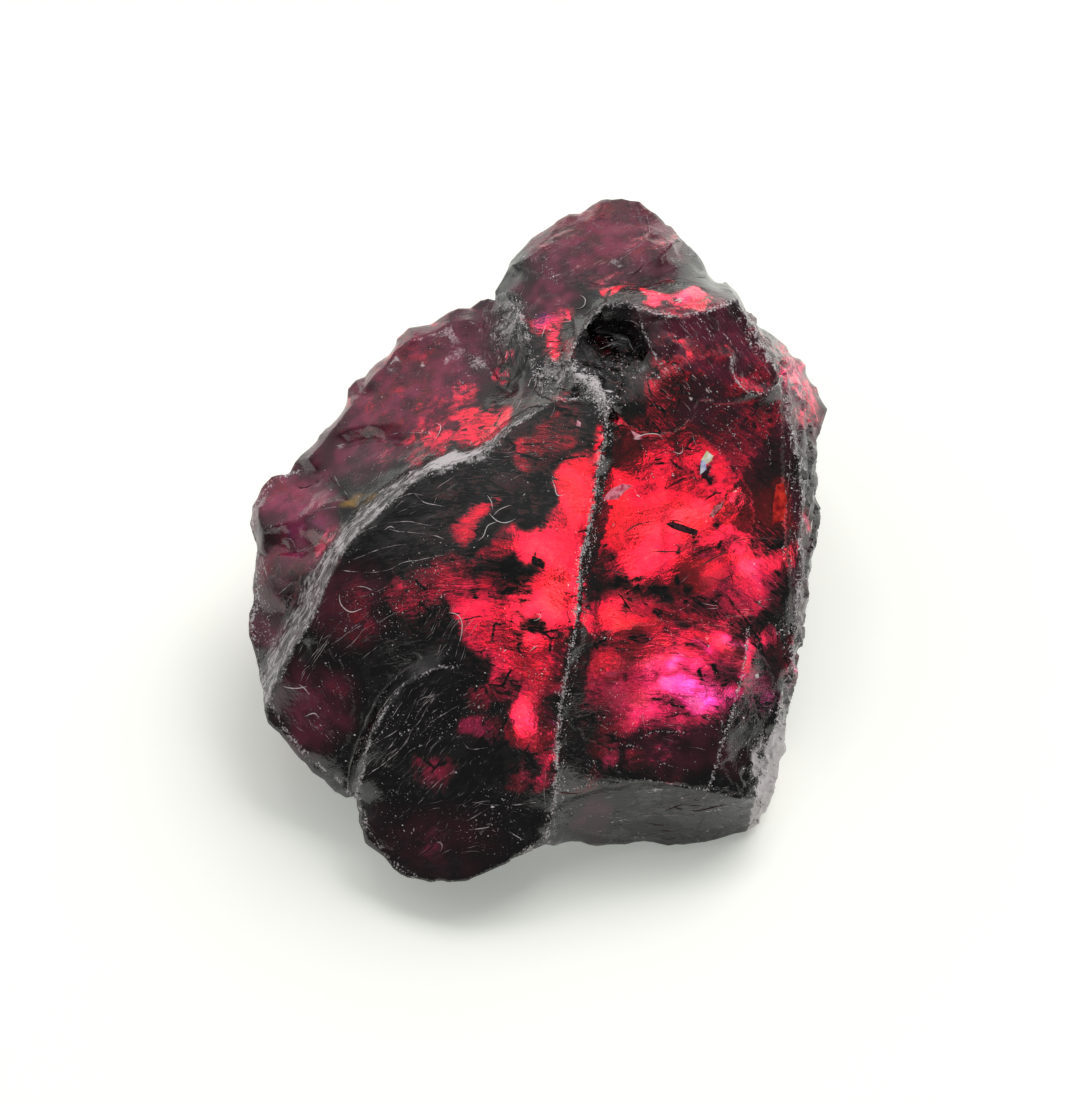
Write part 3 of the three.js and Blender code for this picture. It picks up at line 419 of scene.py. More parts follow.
waver = p + np.stack([0.3 * noise(p, 0.8, k) + 0.2 * noise(p, 0.35, k + 5) for k in (51, 52, 53)], axis=1)
# the red is held back under the bevel, so that its painted grey reflection stays grey
bevel_blocks = np.interp(v, [1.8, 2.6], [1.0, 0.6]) * bevel
glow = overlay(waver, BRIGHT) * (1 - overlay(waver, DARK)) * (1 - bevel_blocks)
# the under side is clean where light comes up for the bright face right of the crest
CLEAN_BELOW = [(-0.5, 0.7, 1.1, 1.2, 0.95), (5.0, 0.98, 0.5, 0.7, 0.95)]
glow = np.maximum(glow, (w < -1.5) * overlay(p, CLEAN_BELOW))
violet = overlay(waver, VIOLET)
# dull, finely broken skin and settled dust; the spot on the flank left of the knot is a painted highlight,
# and the spot low on the right-hand strip a painted reflection of the white floor
DULL_AND_PAINTED_LIGHT = [
    (1.6, 7.5, 2.6, 1.5, 0.03), (-3.2, 3.7, 3.0, 1.7, 0.03, 40), (-0.9, 5.3, 0.6, 0.9, 0.34),
    (-1.9, 2.05, 1.1, 0.26, 0.5, 25), (-2.0, 4.3, 0.9, 1.2, 0.06, 20), (0.9, 3.95, 0.7, 0.2, 0.5, -25),
    (1.5, 3.5, 0.35, 0.35, 0.45), (0.4, 3.85, 0.5, 0.3, 0.2, -15), (4.2, 4.9, 2.2, 1.5, 0.04, -20),
    (3.0, -6.8, 3.2, 0.9, 0.04), (4.9, -5.0, 0.7, 1.3, 0.08), (-6.9, -2.0, 0.4, 0.7, 0.2),
    (5.75, -5.9, 0.4, 1.3, 0.6, 12), (-4.9, -0.1, 0.35, 0.45, 0.25, 60), (5.9, -2.1, 0.4, 0.3, 0.15),
    (1.2, -5.75, 0.5, 0.35, 0.15), (1.7, 4.2, 0.9, 0.6, 0.08),
]
dull_and_painted_light = overlay(waver, DULL_AND_PAINTED_LIGHT)
# the lower part of the steep strip past the right-hand edge is painted pale: a painted reflection of the
# white floor
dull_and_painted_light = np.maximum(dull_and_painted_light, 1.3 * (strip > 0) * np.clip((-4.4 - v) / 0.4, 0, 1))
# crystal clouded from inside by fine fractures, so that it shows maroon by scattered light; on the peak and
# the upper left that maroon also stands for their soft sheen, a painted sheen
CLOUDED_AND_SHEEN = [
    (1.6, 7.6, 2.8, 1.5, 0.75), (-3.3, 3.7, 3.2, 1.8, 0.85, 40), (-6.1, 0.7, 1.4, 1.7, 1.0),
    (4.2, 4.9, 2.2, 1.5, 0.4, -20), (6.5, 3.6, 0.8, 1.8, 0.5), (-5.6, -4.2, 1.3, 1.5, 0.5),
    (-6.7, -1.6, 0.7, 1.5, 0.5), (0.2, 6.1, 1.1, 0.8, 0.8), (-2.6, -7.4, 2.2, 1.3, 0.12),
    (6.4, 0.0, 0.4, 3.0, 0.25, 5), (-4.9, -1.6, 1.3, 1.3, 0.3), (1.3, -6.8, 0.7, 0.8, 0.3),
    (3.6, -5.2, 2.0, 0.8, 0.2), (4.6, 2.6, 1.6, 1.5, 0.25), (-5.2, 2.2, 1.4, 0.9, 0.6, 35),
]
veil = overlay(waver, CLOUDED_AND_SHEEN)
stain = spot(waver, -4.65, 1.02, 0.42, 0.24) * (front > 0)


def keep(name, kind, values):
    """Stores one value per vertex in the mesh, for its material to read."""
    made = stone_mesh.attributes.new(name, kind, "POINT")
    made.data.foreach_set({"FLOAT": "value", "FLOAT_VECTOR": "vector"}.get(kind, "color"), values.ravel())


# the step behind the crest, painted dark as shade in its groove: how far past the crest a place is, over the
# step's width there
step_width = np.interp(v, [-6.5, -2.4, -2.0, -1.0, -0.7, 0.85, 1.05, 2.0, 3.2],
                       [0.6, 0.55, 0.12, 0.12, 0.35, 0.5, 0.2, 0.3, 0.22])
past_crest = np.where(w > 0, -crest_gap * crest_side, -9.0) / step_width
keep("zones", "FLOAT_COLOR", np.stack([glow, violet, dull_and_painted_light, stain], axis=1))
# scratches lie thinner on the clouded skin
scratched = grain_strength * (1 - 0.65 * veil * (bevel <= 0))
keep("marks", "FLOAT_COLOR", np.stack([chip_gap, scratched, past_crest, bevel], axis=1))
keep("grain", "FLOAT_VECTOR", grain)
keep("matte", "FLOAT", under.astype(float))
keep("veil", "FLOAT", veil)


def srgb(code):
    """Linear colour with alpha 1 from an sRGB hex code."""
    parts = [int(code[i:i + 2], 16) / 255 for i in (1, 3, 5)]
    return tuple(c / 12.92 if c <= 0.04045 else ((c + 0.055) / 1.055) ** 2.4 for c in parts) + (1.0,)


def add(tree, kind, settings=None, **links):
    """Adds a node: settings by attribute name or input number, a ramp's stops by position and hex code, and
    links by input name (_ for a space) or by i and its number, from a socket or a node's first output."""
    made = tree.nodes.new(kind)
    for key, value in (settings or {}).items():
        if key == "stops":
            for at, _ in value[1:-1]:
                made.color_ramp.elements.new(at)
            for element, (at, code) in zip(made.color_ramp.elements, value):
                element.position, element.color = at, srgb(code)
        elif isinstance(key, str) and hasattr(made, key):
            setattr(made, key, value)
        else:
            made.inputs[key].default_value = value
    for key, source in links.items():
        socket = int(key[1:]) if key[0] == "i" and key[1:].isdigit() else key.replace("_", " ")
        tree.links.new(getattr(source, "outputs", [source])[0], made.inputs[socket])
    return made


# Painite's broken surface: glass-clear with sharp reflections, IOR 1.79, and red absorption. Its broken
# edges, frosted bevel and dust scatter white; part of that white, on the bevel and in fine specks and
# scratches, is painted reflection and painted glints, and part of the maroon veil is a painted sheen.
# Zones of flawed crystal inside let light through or not.
MATH, RANGE, MIX, NOISE = "ShaderNodeMath", "ShaderNodeMapRange", "ShaderNodeMix", "ShaderNodeTexNoise"
SMOOTH, COLOUR = {"interpolation_type": "SMOOTHSTEP"}, {"data_type": "RGBA"}
PLUS, LESS, TIMES = {"operation": "ADD"}, {"operation": "SUBTRACT"}, {"operation": "MULTIPLY"}
TIMES_PLUS, LARGER = {"operation": "MULTIPLY_ADD"}, {"operation": "MAXIMUM"}
glass = bpy.data.materials.new("painite")
glass.use_nodes = True
tree = glass.node_tree
tree.nodes.clear()
zones, marks, grained_way, ground, veil_and_sheen_at = (
    add(tree, "ShaderNodeAttribute", {"attribute_name": name})
    for name in ("zones", "marks", "grain", "matte", "veil"))
zone = add(tree, "ShaderNodeSeparateColor", Color=zones.outputs["Color"]).outputs
glowing, violet_part, dull_and_painted_light_part = zone["Red"], zone["Green"], zone["Blue"]
mark = add(tree, "ShaderNodeSeparateColor", Color=marks.outputs["Color"]).outputs
chip_distance, grained, past = mark["Red"], mark["Green"], mark["Blue"]
grain_at = grained_way.outputs["Vector"]
where = add(tree, "ShaderNodeTexCoord").outputs["Object"]
# cloud 0.5 mm wide, mottle 0.24 mm, grit 0.11 mm and fray 0.06 mm
cloud, mottle, grit, frayed = (
    add(tree, NOISE, {"Scale": scale, "Detail": detail, "Roughness": roughness}, Vector=where)
    for scale, detail, roughness in ((1900.0, 1.0, 0.6), (4200.0, 3.0, 0.72), (9000.0, 2.0, 0.7),
                                     (17000.0, 2.0, 0.7)))
# streaks are 0.09 mm wide and four times as long, ribs 0.4 mm wide
stretch = add(tree, "ShaderNodeMapping", {"Scale": (2.6, 11.0, 3.0)}, Vector=grain_at)
streak = add(tree, NOISE, {"Scale": 1.0, "Detail": 3.0, "Roughness": 0.65, "Distortion": 1.0}, Vector=stretch)
long_stretch = add(tree, "ShaderNodeMapping", {"Scale": (0.5, 2.6, 1.0)}, Vector=grain_at)
rib = add(tree, NOISE, {"Scale": 1.0, "Detail": 1.0, "Roughness": 0.5}, Vector=long_stretch)

# the zones break up along flat internal fractures, 1 mm or so across, with dark cracks between some
flaw_stretch = add(tree, "ShaderNodeMapping", {"Scale": (0.9, 2.2, 1.2)}, Vector=grain_at)
bent = add(tree, MIX, {"data_type": "VECTOR", 0: 0.14}, i4=flaw_stretch, i5=cloud.outputs["Color"])
flaw = add(tree, "ShaderNodeTexVoronoi", {"Scale": 1.3}, Vector=bent.outputs[1])
flaws = add(tree, "ShaderNodeSeparateColor", Color=flaw.outputs["Color"])
crack = add(tree, "ShaderNodeTexVoronoi", {"feature": "DISTANCE_TO_EDGE", "Scale": 0.9},
            Vector=bent.outputs[1])
cracked = add(tree, RANGE, {**SMOOTH, 1: 0.0, 2: 0.05, 3: 0.7, 4: 0.0}, Value=crack)
cracked_here = add(tree, RANGE, {**SMOOTH, 1: 0.48, 2: 0.58}, Value=cloud)
cracks = add(tree, MATH, TIMES, i0=cracked, i1=cracked_here)
flaw_part = add(tree, RANGE, {1: 0.0, 2: 1.0, 3: -0.24, 4: 0.24}, Value=flaws)
streak_part = add(tree, RANGE, {1: 0.34, 2: 0.66, 3: -0.26, 4: 0.26}, Value=streak)
mottle_part = add(tree, RANGE, {1: 0.34, 2: 0.66, 3: -0.26, 4: 0.26}, Value=mottle)
two_parts = add(tree, MATH, PLUS, i0=flaw_part, i1=streak_part)
three_parts = add(tree, MATH, PLUS, i0=two_parts, i1=mottle_part)
uneven = add(tree, MATH, LESS, i0=three_parts, i1=cracks)
blocked = add(tree, MATH, {**LESS, 0: 1.0}, i1=glowing)
half_passed = add(tree, MATH, TIMES, i0=blocked, i1=glowing)
share = add(tree, MATH, {**TIMES_PLUS, 1: 3.2, 2: 0.03}, i0=half_passed)
passing = add(tree, MATH, TIMES_PLUS, i0=uneven, i1=share, i2=glowing)
# the step behind the crest is painted dark, with a sharp edge: painted shade in its groove
past_frayed = add(tree, RANGE, {1: 0.3, 2: 0.7, 3: -0.15, 4: 0.15}, Value=grit)
past_edge = add(tree, MATH, PLUS, i0=past, i1=past_frayed)
step_on = add(tree, RANGE, {**SMOOTH, 1: -0.05, 2: 0.05, 3: 0.0, 4: 0.9}, Value=past_edge)
step_off = add(tree, RANGE, {**SMOOTH, 1: 0.85, 2: 1.0, 3: 1.0, 4: 0.0}, Value=past_edge)
step = add(tree, MATH, TIMES, i0=step_on, i1=step_off)
clear_of_step = add(tree, MATH, {**LESS, 0: 1.0}, i1=step)
passed = add(tree, MATH, {**TIMES, "use_clamp": True}, i0=passing, i1=clear_of_step)
red_tint = add(tree, "ShaderNodeValToRGB", {"stops": [
    (0.0, "#000000"), (0.05, "#020101"), (0.15, "#290b19"), (0.3, "#681436"), (0.45, "#8f1a42"),
    (0.6, "#bc224c"), (0.75, "#dc2a50"), (0.9, "#f63452"), (1.0, "#ff5864")]}, Fac=passed)
violet_tint = add(tree, "ShaderNodeValToRGB", {"stops": [
    (0.0, "#000000"), (0.3, "#5a1446"), (0.5, "#9a2690"), (0.7, "#e04ce4"), (0.9, "#ff7cff"),
    (1.0, "#ffb0ff")]}, Fac=passed)
tint = add(tree, MIX, COLOUR, i0=violet_part, i6=red_tint, i7=violet_tint)

# white: a frayed line of chips along each worn edge; the frosted bevel, partly a painted reflection; thin
# scratches, partly painted glints; settled dust, with specks that are painted glints
fray = add(tree, RANGE, {**SMOOTH, 1: 0.32, 2: 0.68, 3: 0.9, 4: -0.9}, Value=frayed)
chip_edge = add(tree, MATH, PLUS, i0=chip_distance, i1=fray)
chip_line = add(tree, RANGE, {**SMOOTH, 1: 0.1, 2: 0.8, 3: 1.0, 4: 0.0}, Value=chip_edge)
chip_gaps = add(tree, RANGE, {**SMOOTH, 1: 0.35, 2: 0.65, 3: 0.05, 4: 0.7}, Value=mottle)
chips = add(tree, MATH, TIMES, i0=chip_line, i1=chip_gaps)
# thin white scratches along the grain, partly painted glints where its ribs would catch the light
scratch_and_glint_mask = add(tree, RANGE, {**SMOOTH, 1: 0.62, 2: 0.7, 3: 0.0, 4: 0.75}, Value=streak)
scratch_and_glint_lines = add(tree, MATH, TIMES, i0=scratch_and_glint_mask, i1=grained)
# streaks of white on the bevel: partly frost, partly a painted grey reflection
frost_and_reflection = add(tree, RANGE, {**SMOOTH, 1: 0.38, 2: 0.64, 3: 0.14, 4: 0.5}, Value=streak)
frost_and_reflection_cover = add(tree, MATH, TIMES, i0=frost_and_reflection, i1=marks.outputs["Alpha"])
film = add(tree, RANGE, {**SMOOTH, 1: 0.3, 2: 0.7, 3: 0.2, 4: 1.4}, Value=mottle)
# fine white specks over the dull skin: painted glints, added to the dust film
painted_glint_speck = add(tree, RANGE, {**SMOOTH, 1: 0.6, 2: 0.68, 3: 0.0, 4: 4.0}, Value=frayed)
dust_film_and_glints = add(tree, MATH, PLUS, i0=film, i1=painted_glint_speck)
dust_and_glint_cover = add(tree, MATH, TIMES_PLUS, i0=dust_film_and_glints, i1=dull_and_painted_light_part, i2=scratch_and_glint_lines)
edges = add(tree, MATH, LARGER, i0=chips, i1=frost_and_reflection_cover)
whitish = add(tree, MATH, PLUS, i0=edges, i1=dust_and_glint_cover)
white = add(tree, RANGE, {**SMOOTH, 1: 0.16, 2: 0.6}, Value=whitish)
cloudy = add(tree, RANGE, {**SMOOTH, 1: 0.34, 2: 0.66, 3: 0.2, 4: 0.62}, Value=cloud)
# the maroon veil: clouded crystal, and on the peak and the upper left a painted sheen
veil_and_sheen_part = add(tree, MATH, TIMES, i0=cloudy, i1=veil_and_sheen_at.outputs["Fac"])
veiled = add(tree, MIX, {**COLOUR, 7: srgb("#ae4064")}, i0=veil_and_sheen_part, i6=tint.outputs[2])
pale = add(tree, MIX, {**COLOUR, 7: srgb("#c4bcbe")}, i0=white, i6=veiled.outputs[2])
stained = add(tree, MATH, {**TIMES, 1: 0.85}, i0=zones.outputs["Alpha"])
base = add(tree, MIX, {**COLOUR, 7: srgb("#8d6a2c")}, i0=stained, i6=pale.outputs[2])
cover = add(tree, MATH, LARGER, i0=white, i1=stained)
scatter = add(tree, MATH, LARGER, i0=cover, i1=veil_and_sheen_part)
# what is not scattered goes on through the glass, so clear times base comes to tint times what is left
kept = add(tree, MATH, {**LESS, 0: 1.0}, i1=scatter)
tint_red = add(tree, "ShaderNodeSeparateColor", Color=tint.outputs[2])
base_red = add(tree, "ShaderNodeSeparateColor", Color=base.outputs[2])
through = add(tree, MATH, TIMES, i0=kept, i1=tint_red)
clear = add(tree, MATH, {"operation": "DIVIDE", "use_clamp": True}, i0=through, i1=base_red)
ground_rough = add(tree, MATH, {**TIMES_PLUS, 1: 0.26, 2: 0.09}, i0=ground.outputs["Fac"])
rough = add(tree, MATH, {**TIMES_PLUS, 1: 0.35}, i0=cover, i2=ground_rough)
# relief too fine for the mesh: streaks and ribs along the grain, and grit
long_ribs = add(tree, MATH, {**TIMES_PLUS, 1: 1.2}, i0=rib, i2=streak)
along_grain = add(tree, MATH, TIMES, i0=long_ribs, i1=grained)
heights = add(tree, MATH, {**TIMES_PLUS, 1: 0.24}, i0=grit, i2=along_grain)
bump = add(tree, "ShaderNodeBump", {"Strength": 1.0, "Distance": 0.03 * MM}, Height=heights)
bsdf = add(tree, "ShaderNodeBsdfPrincipled", {"IOR": 1.79, "Specular IOR Level": 0.36},
           Base_Color=base.outputs[2], Transmission_Weight=clear, Roughness=rough, Normal=bump)
volume = add(tree, "ShaderNodeVolumeAbsorption", {"Color": srgb("#ff4466"), "Density": 170.0})
add(tree, "ShaderNodeOutputMaterial", Surface=bsdf, Volume=volume)
stone_mesh.materials.append(glass)
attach(stone, "root")
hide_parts("rough_crystal")

# ------------------------------------------------------------------------------------------------
# Chips and dust on the stone. Crushed slivers of the crystal still hang along its broken edges, and
# specks of pale rock dust lie over the broad face. They are powder-white because they scatter light. Some
# of them, on the peak's rims, along the lobe's crest and in the chatter rows, stand partly for highlights
# and glints: painted highlights and painted glints.

rng = np.random.default_rng(7)
normal_now = each_vertex("normal")
corners = np.empty(len(stone_mesh.loops), dtype=np.int64)
stone_mesh.loops.foreach_get("vertex_index", corners)
skin = BVHTree.FromPolygons(place.tolist(), corners.reshape(-1, 3).tolist())
exposed = (w > -1.9) & ~under
ACROSS_FACE = np.array([1.0, 0.0, 0.0])
UP_FACE = np.array([0.0, math.cos(FACE_LEAN), math.sin(FACE_LEAN)])
OUT_OF_FACE = np.array([0.0, -math.sin(FACE_LEAN), math.cos(FACE_LEAN)])
RAY_FROM, RAY_LENGTH = 9.0, 11.5   # mm


def on_skin(spots):
    """Lays (u, v) spots on the broad side: a ray comes down square to the face from 9 mm above each one,
    and gives the place and the outward direction where it lands, or else the nearest ones."""
    spots = np.asarray(spots)
    starts = np.array(FACE_ORIGIN) + spots[:, :1] * ACROSS_FACE + spots[:, 1:] * UP_FACE
    starts = starts + RAY_FROM * OUT_OF_FACE
    hits = [skin.ray_cast(Vector(start), Vector(-OUT_OF_FACE), RAY_LENGTH * MM) for start in starts * MM]
    hits = [hit if hit[0] else skin.find_nearest(Vector(start)) for hit, start in
            zip(hits, (starts - RAY_FROM * OUT_OF_FACE) * MM)]
    return np.array([hit[0] for hit in hits]), np.array([hit[1] for hit in hits])


def slivers(at, outward, size):
    """Thin splinters lying on the skin: three points round each place, at random turns and lengths, drawn
    out along one direction, and one raised a third of the size along the outward direction."""
    n = len(at)
    side_way = np.cross(outward, rng.normal(size=(n, 3)))
    side_way /= np.linalg.norm(side_way, axis=1)[:, None]
    other = np.cross(outward, side_way)
    turn = rng.uniform(0, 2 * math.pi, (n, 1)) + np.array([[0, 2.1, 4.2]]) + rng.uniform(-0.6, 0.6, (n, 3))
    length = size[:, None] * rng.uniform(0.3, 1.0, (n, 3))
    drawn = rng.uniform(0.8, 2.2, (n, 1))
    ring = (length * drawn * np.cos(turn))[:, :, None] * side_way[:, None]
    ring += (length * np.sin(turn))[:, :, None] * other[:, None]
    tip = (outward + 0.5 * rng.normal(size=(n, 3)))[:, None] * (0.35 * size)[:, None, None]
    points = np.concatenate([at[:, None] + ring - 0.1 * tip, at[:, None] + tip], axis=1)
    faces = np.array([[0, 1, 2], [0, 3, 1], [1, 3, 2], [2, 3, 0]])[:, ::-1]
    return points.reshape(-1, 3), (faces[None] + 4 * np.arange(n)[:, None, None]).reshape(-1, 3)


def loose_piece(name, points, faces, material):
    """A piece from row-frame points in metres, kept inside the stone's box, riding with the stone."""
    mesh = bpy.data.meshes.new(name)
    mesh.from_pydata(np.clip(points, low, high).tolist(), [], faces.tolist())
    mesh.materials.append(material)
    bm = bmesh.new()
    bm.from_mesh(mesh)
    bmesh.ops.recalc_face_normals(bm, faces=bm.faces)
    bm.to_mesh(mesh)
    bm.free()
    ob = show(name, mesh)
    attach(ob, "root")


def curve_through(points, step):
    """A Catmull-Rom curve through the points, one row per step in mm."""
    points = np.array(points, dtype=float)
    padded = np.vstack([2 * points[0] - points[1], points, 2 * points[-1] - points[-2]])
    rows = []
    for a, b, c, d in zip(padded[:-3], padded[1:-2], padded[2:-1], padded[3:]):
        t = np.linspace(0, 1, max(2, int(np.linalg.norm(c - b) / step)), endpoint=False)[:, None]
        rows.append(0.5 * (2 * b + (c - a) * t + (2 * a - 5 * b + 4 * c - d) * t ** 2
                           + (3 * b - a - 3 * c + d) * t ** 3))
    return np.vstack(rows + [points[-1:]])


def strewn(line, per_mm, offset, spread):
    """(u, v) places strewn along a line, so many to the mm: shifted to its left by an offset, scattered
    round it by a spread, both in mm, and thinned out into clumps by a noise 0.25 mm wide."""
    curve = curve_through(line, 0.03)
    way = np.gradient(curve, axis=0)
    way /= np.linalg.norm(way, axis=1)[:, None]
    picked = rng.integers(len(curve), size=int(len(curve) * 0.03 * per_mm))
    right = np.stack([way[:, 1], -way[:, 0]], axis=1)[picked]
    spots = curve[picked] - right * offset + rng.normal(scale=spread, size=(len(picked), 2))
    clumped = noise(np.column_stack([spots, np.zeros(len(spots))]), 0.25, 61)
    return spots[clumped + rng.uniform(-0.5, 0.5, len(spots)) > -0.15]


def patched(name, finish, pattern, dark, light, contrast=None):
    """A material in two colours, mixed by a noise pattern, or by the part of its range that the contrast
    spreads out, with a finish that is the same all over."""
    made = bpy.data.materials.new(name)
    made.use_nodes = True
    tree = made.node_tree
    bsdf = tree.nodes["Principled BSDF"]
    for key, value in finish.items():
        bsdf.inputs[key].default_value = value
    where = add(tree, "ShaderNodeTexCoord").outputs["Object"]
    shade = add(tree, NOISE, pattern, Vector=where)
    if contrast:
        shade = add(tree, RANGE, contrast, Value=shade)
    hue = add(tree, MIX, {**COLOUR, 6: srgb(dark), 7: srgb(light)}, i0=shade)
    tree.links.new(hue.outputs[2], bsdf.inputs["Base Color"])
    return made


# Crushed crystal: each splinter from clear pinkish grey to powder white, glossy enough to glint.
# One shade to a splinter: the pattern is 0.04 mm wide.
powder = patched("crushed_crystal", {"Roughness": 0.3, "IOR": 1.6}, {"Scale": 24000.0, "Detail": 1.0},
                 "#6a565c", "#fffcfc", {1: 0.32, 2: 0.62})

# (line, splinters to the mm, offset to the left of the line's direction, spread, size in mm)
STREWN = [
    (LOWER_RIM, 25, 0.0, 0.02, 0.01), (LEFT_RIM, 25, 0.0, 0.02, 0.01), (CREST, 190, 0.0, 0.028, 0.0125),
    (CREST, 60, 0.19, 0.03, 0.012), (CREST, 45, 0.1, 0.1, 0.01), (CREST[6:12], 60, -0.06, 0.07, 0.018),
    (BROW, 40, 0.0, 0.03, 0.013), (BROW[3:9], 40, -0.1, 0.09, 0.011), (LOBE, 45, 0.0, 0.03, 0.013),
    (HEAD, 80, 0.0, 0.03, 0.015), (ARCH, 45, 0.0, 0.03, 0.015), (KNOT, 480, 0.0, 0.09, 0.02),
    (KNOT, 220, 0.0, 0.2, 0.014), (FLANK, 80, 0.0, 0.04, 0.013), (BENT_CHIP, 150, 0.0, 0.012, 0.014),
    (BENT_CHIP, 60, 0.08, 0.012, 0.012), (SEAM, 45, 0.0, 0.03, 0.015), (RIGHT_EDGE, 90, 0.0, 0.03, 0.014),
    (RIGHT_EDGE, 50, -0.22, 0.05, 0.013), (END_FACE, 25, 0.0, 0.03, 0.011),
    ([(1.75, 3.35), (1.95, 3.6), (2.1, 4.0), (2.05, 4.4)], 80, 0, 0.08, 0.015),
    # white chips along the peak's rims and its ridge: partly chipped edge, partly painted highlights on the
    # rims
    ([(-0.7, 6.9), (-0.3, 7.1), (0.05, 6.88), (0.35, 6.62), (0.6, 6.4)], 40, 0, 0.04, 0.014),
    ([(3.0, 7.15), (3.3, 7.4), (3.48, 7.55)], 50, 0, 0.04, 0.014),
    ([(0.1, 6.6), (0.35, 6.5), (0.6, 6.25)], 60, 0, 0.03, 0.013),
    ([(-6.95, 0.25), (-6.4, 0.42), (-5.9, 0.62), (-5.4, 0.85)], 30, 0, 0.015, 0.01),
]
spots, sizes = [], []
for line, per_mm, offset, spread, size in STREWN:
    spots.append(strewn(line, per_mm, offset, spread))
    sizes.append(np.full(len(spots[-1]), size))
at, outward = on_skin(np.vstack(spots))
size = np.minimum(np.concatenate(sizes) * rng.lognormal(0, 0.55, len(at)), 0.06)
loose_piece("Chips", *slivers(at, outward, MM * size), powder)

# Dust: specks over the whole broad side, thickest on the dark lower left and below the knot.
DUST_SPECKS = 8000
weight = 0.12 + strongest([
    (1, -3.4, -3.6, 3.4, 4.5), (0.9, -0.8, -3.6, 1.4, 1.0), (0.8, -0.2, 2.0, 2.0, 0.9),
    (0.7, 1.8, 4.2, 1.2, 1.2), (0.6, 4.6, 2.4, 1.6, 1.6), (0.7, -1.8, -6.9, 2.2, 1.2),
    (0.5, 3.0, -4.2, 2.6, 1.6)])
weight *= exposed * np.clip(0.4 + noise(p, 0.9, 72), 0.05, 1)
picked = rng.choice(count, size=DUST_SPECKS, p=weight / weight.sum())
shift = rng.normal(scale=0.05 * MM, size=(len(picked), 3))
shift -= normal_now[picked] * np.einsum("ij,ij->i", shift, normal_now[picked])[:, None]
size = MM * np.minimum(rng.lognormal(math.log(0.0085), 0.6, len(picked)), 0.045)
loose_piece("Dust", *slivers(place[picked] + shift, normal_now[picked], size), powder)

# Chatter: rows of tiny chips where a crack's edge comes up through the face; on the bright plates and the
# head they also stand for small glints, as painted glints.
CHATTER_AND_GLINTS = [
    [(2.55, 2.35), (2.7, 1.9), (2.82, 1.5)], [(3.1, 2.25), (3.2, 1.95), (3.32, 1.55)],
    [(2.2, 1.35), (2.4, 1.15), (2.62, 0.85)], [(2.9, 5.1), (3.1, 4.75), (3.35, 4.3), (3.5, 3.9)],
    [(3.1, 5.5), (3.4, 4.95), (3.75, 4.3)], [(2.2, 4.05), (2.75, 4.0), (2.95, 3.65), (3.1, 3.35)],
    [(3.5, 5.45), (3.8, 5.0), (4.05, 4.5)], [(4.0, 5.5), (4.3, 5.0), (4.6, 4.6)],
    [(2.5, 4.3), (2.8, 4.15), (3.05, 3.9)], [(4.95, 1.3), (4.65, 1.0), (4.3, 0.6), (4.1, 0.45)],
    [(5.3, -0.5), (5.5, -1.0), (5.45, -1.6)], [(6.1, 1.6), (6.15, 0.9), (6.05, 0.2), (6.1, -0.5)],
    [(3.0, -2.1), (3.3, -2.35)], [(3.95, -1.9), (4.1, -2.2), (4.2, -2.65)],
    [(1.2, -2.3), (1.7, -2.45), (2.2, -2.5)], [(5.15, -2.2), (5.1, -3.0), (4.9, -3.9)],
    [(2.5, -4.9), (3.0, -4.75), (3.6, -4.8)], [(1.6, -5.3), (2.1, -5.1), (2.7, -5.2)],
    [(2.9, -5.5), (3.7, -5.75)], [(-1.7, -4.2), (-1.3, -4.1), (-0.9, -4.25)],
    [(-2.2, -2.7), (-2.5, -3.0), (-2.7, -2.8)], [(1.2, 3.1), (1.35, 2.9)], [(-0.2, 2.4), (-0.1, 2.1)],
    [(-2.0, 5.0), (-2.4, 5.1)], [(-3.0, 2.75), (-2.6, 2.6), (-2.3, 2.2)],
    [(-4.2, 1.75), (-4.0, 2.1), (-3.7, 2.15)], [(5.0, -4.6), (5.1, -5.0), (5.3, -5.2)],
    [(5.0, -5.6), (5.2, -5.75), (5.35, -6.0)], [(4.4, 5.5), (4.7, 5.0), (5.0, 4.6)],
    [(4.9, 5.6), (5.15, 5.1), (5.35, 4.6)], [(3.3, 4.5), (3.6, 4.0), (3.75, 3.5)],
    [(5.2, 5.2), (5.5, 4.6), (5.75, 4.2)], [(4.6, 2.9), (4.9, 2.5), (5.05, 2.1)],
    [(5.5, 3.0), (5.7, 2.4), (5.75, 1.9)], [(-4.2, 1.4), (-3.9, 1.75), (-3.6, 1.8), (-3.3, 2.1)],
    [(-5.4, -3.0), (-5.15, -3.35), (-4.9, -4.0)],
]
spots = np.vstack([strewn(line, 34, 0.0, 0.016) for line in CHATTER_AND_GLINTS])
at, outward = on_skin(spots)
loose_piece("Chatter", *slivers(at, outward, MM * rng.lognormal(math.log(0.015), 0.5, len(at))), powder)


# ------------------------------------------------------------------------------------------------
# Hairlines and lint. The hairlines are thin raised fracture ribs that catch the light, and the lint is
# white cotton fibre, under 0.02 mm thick, that clings to the rough faces in curls.


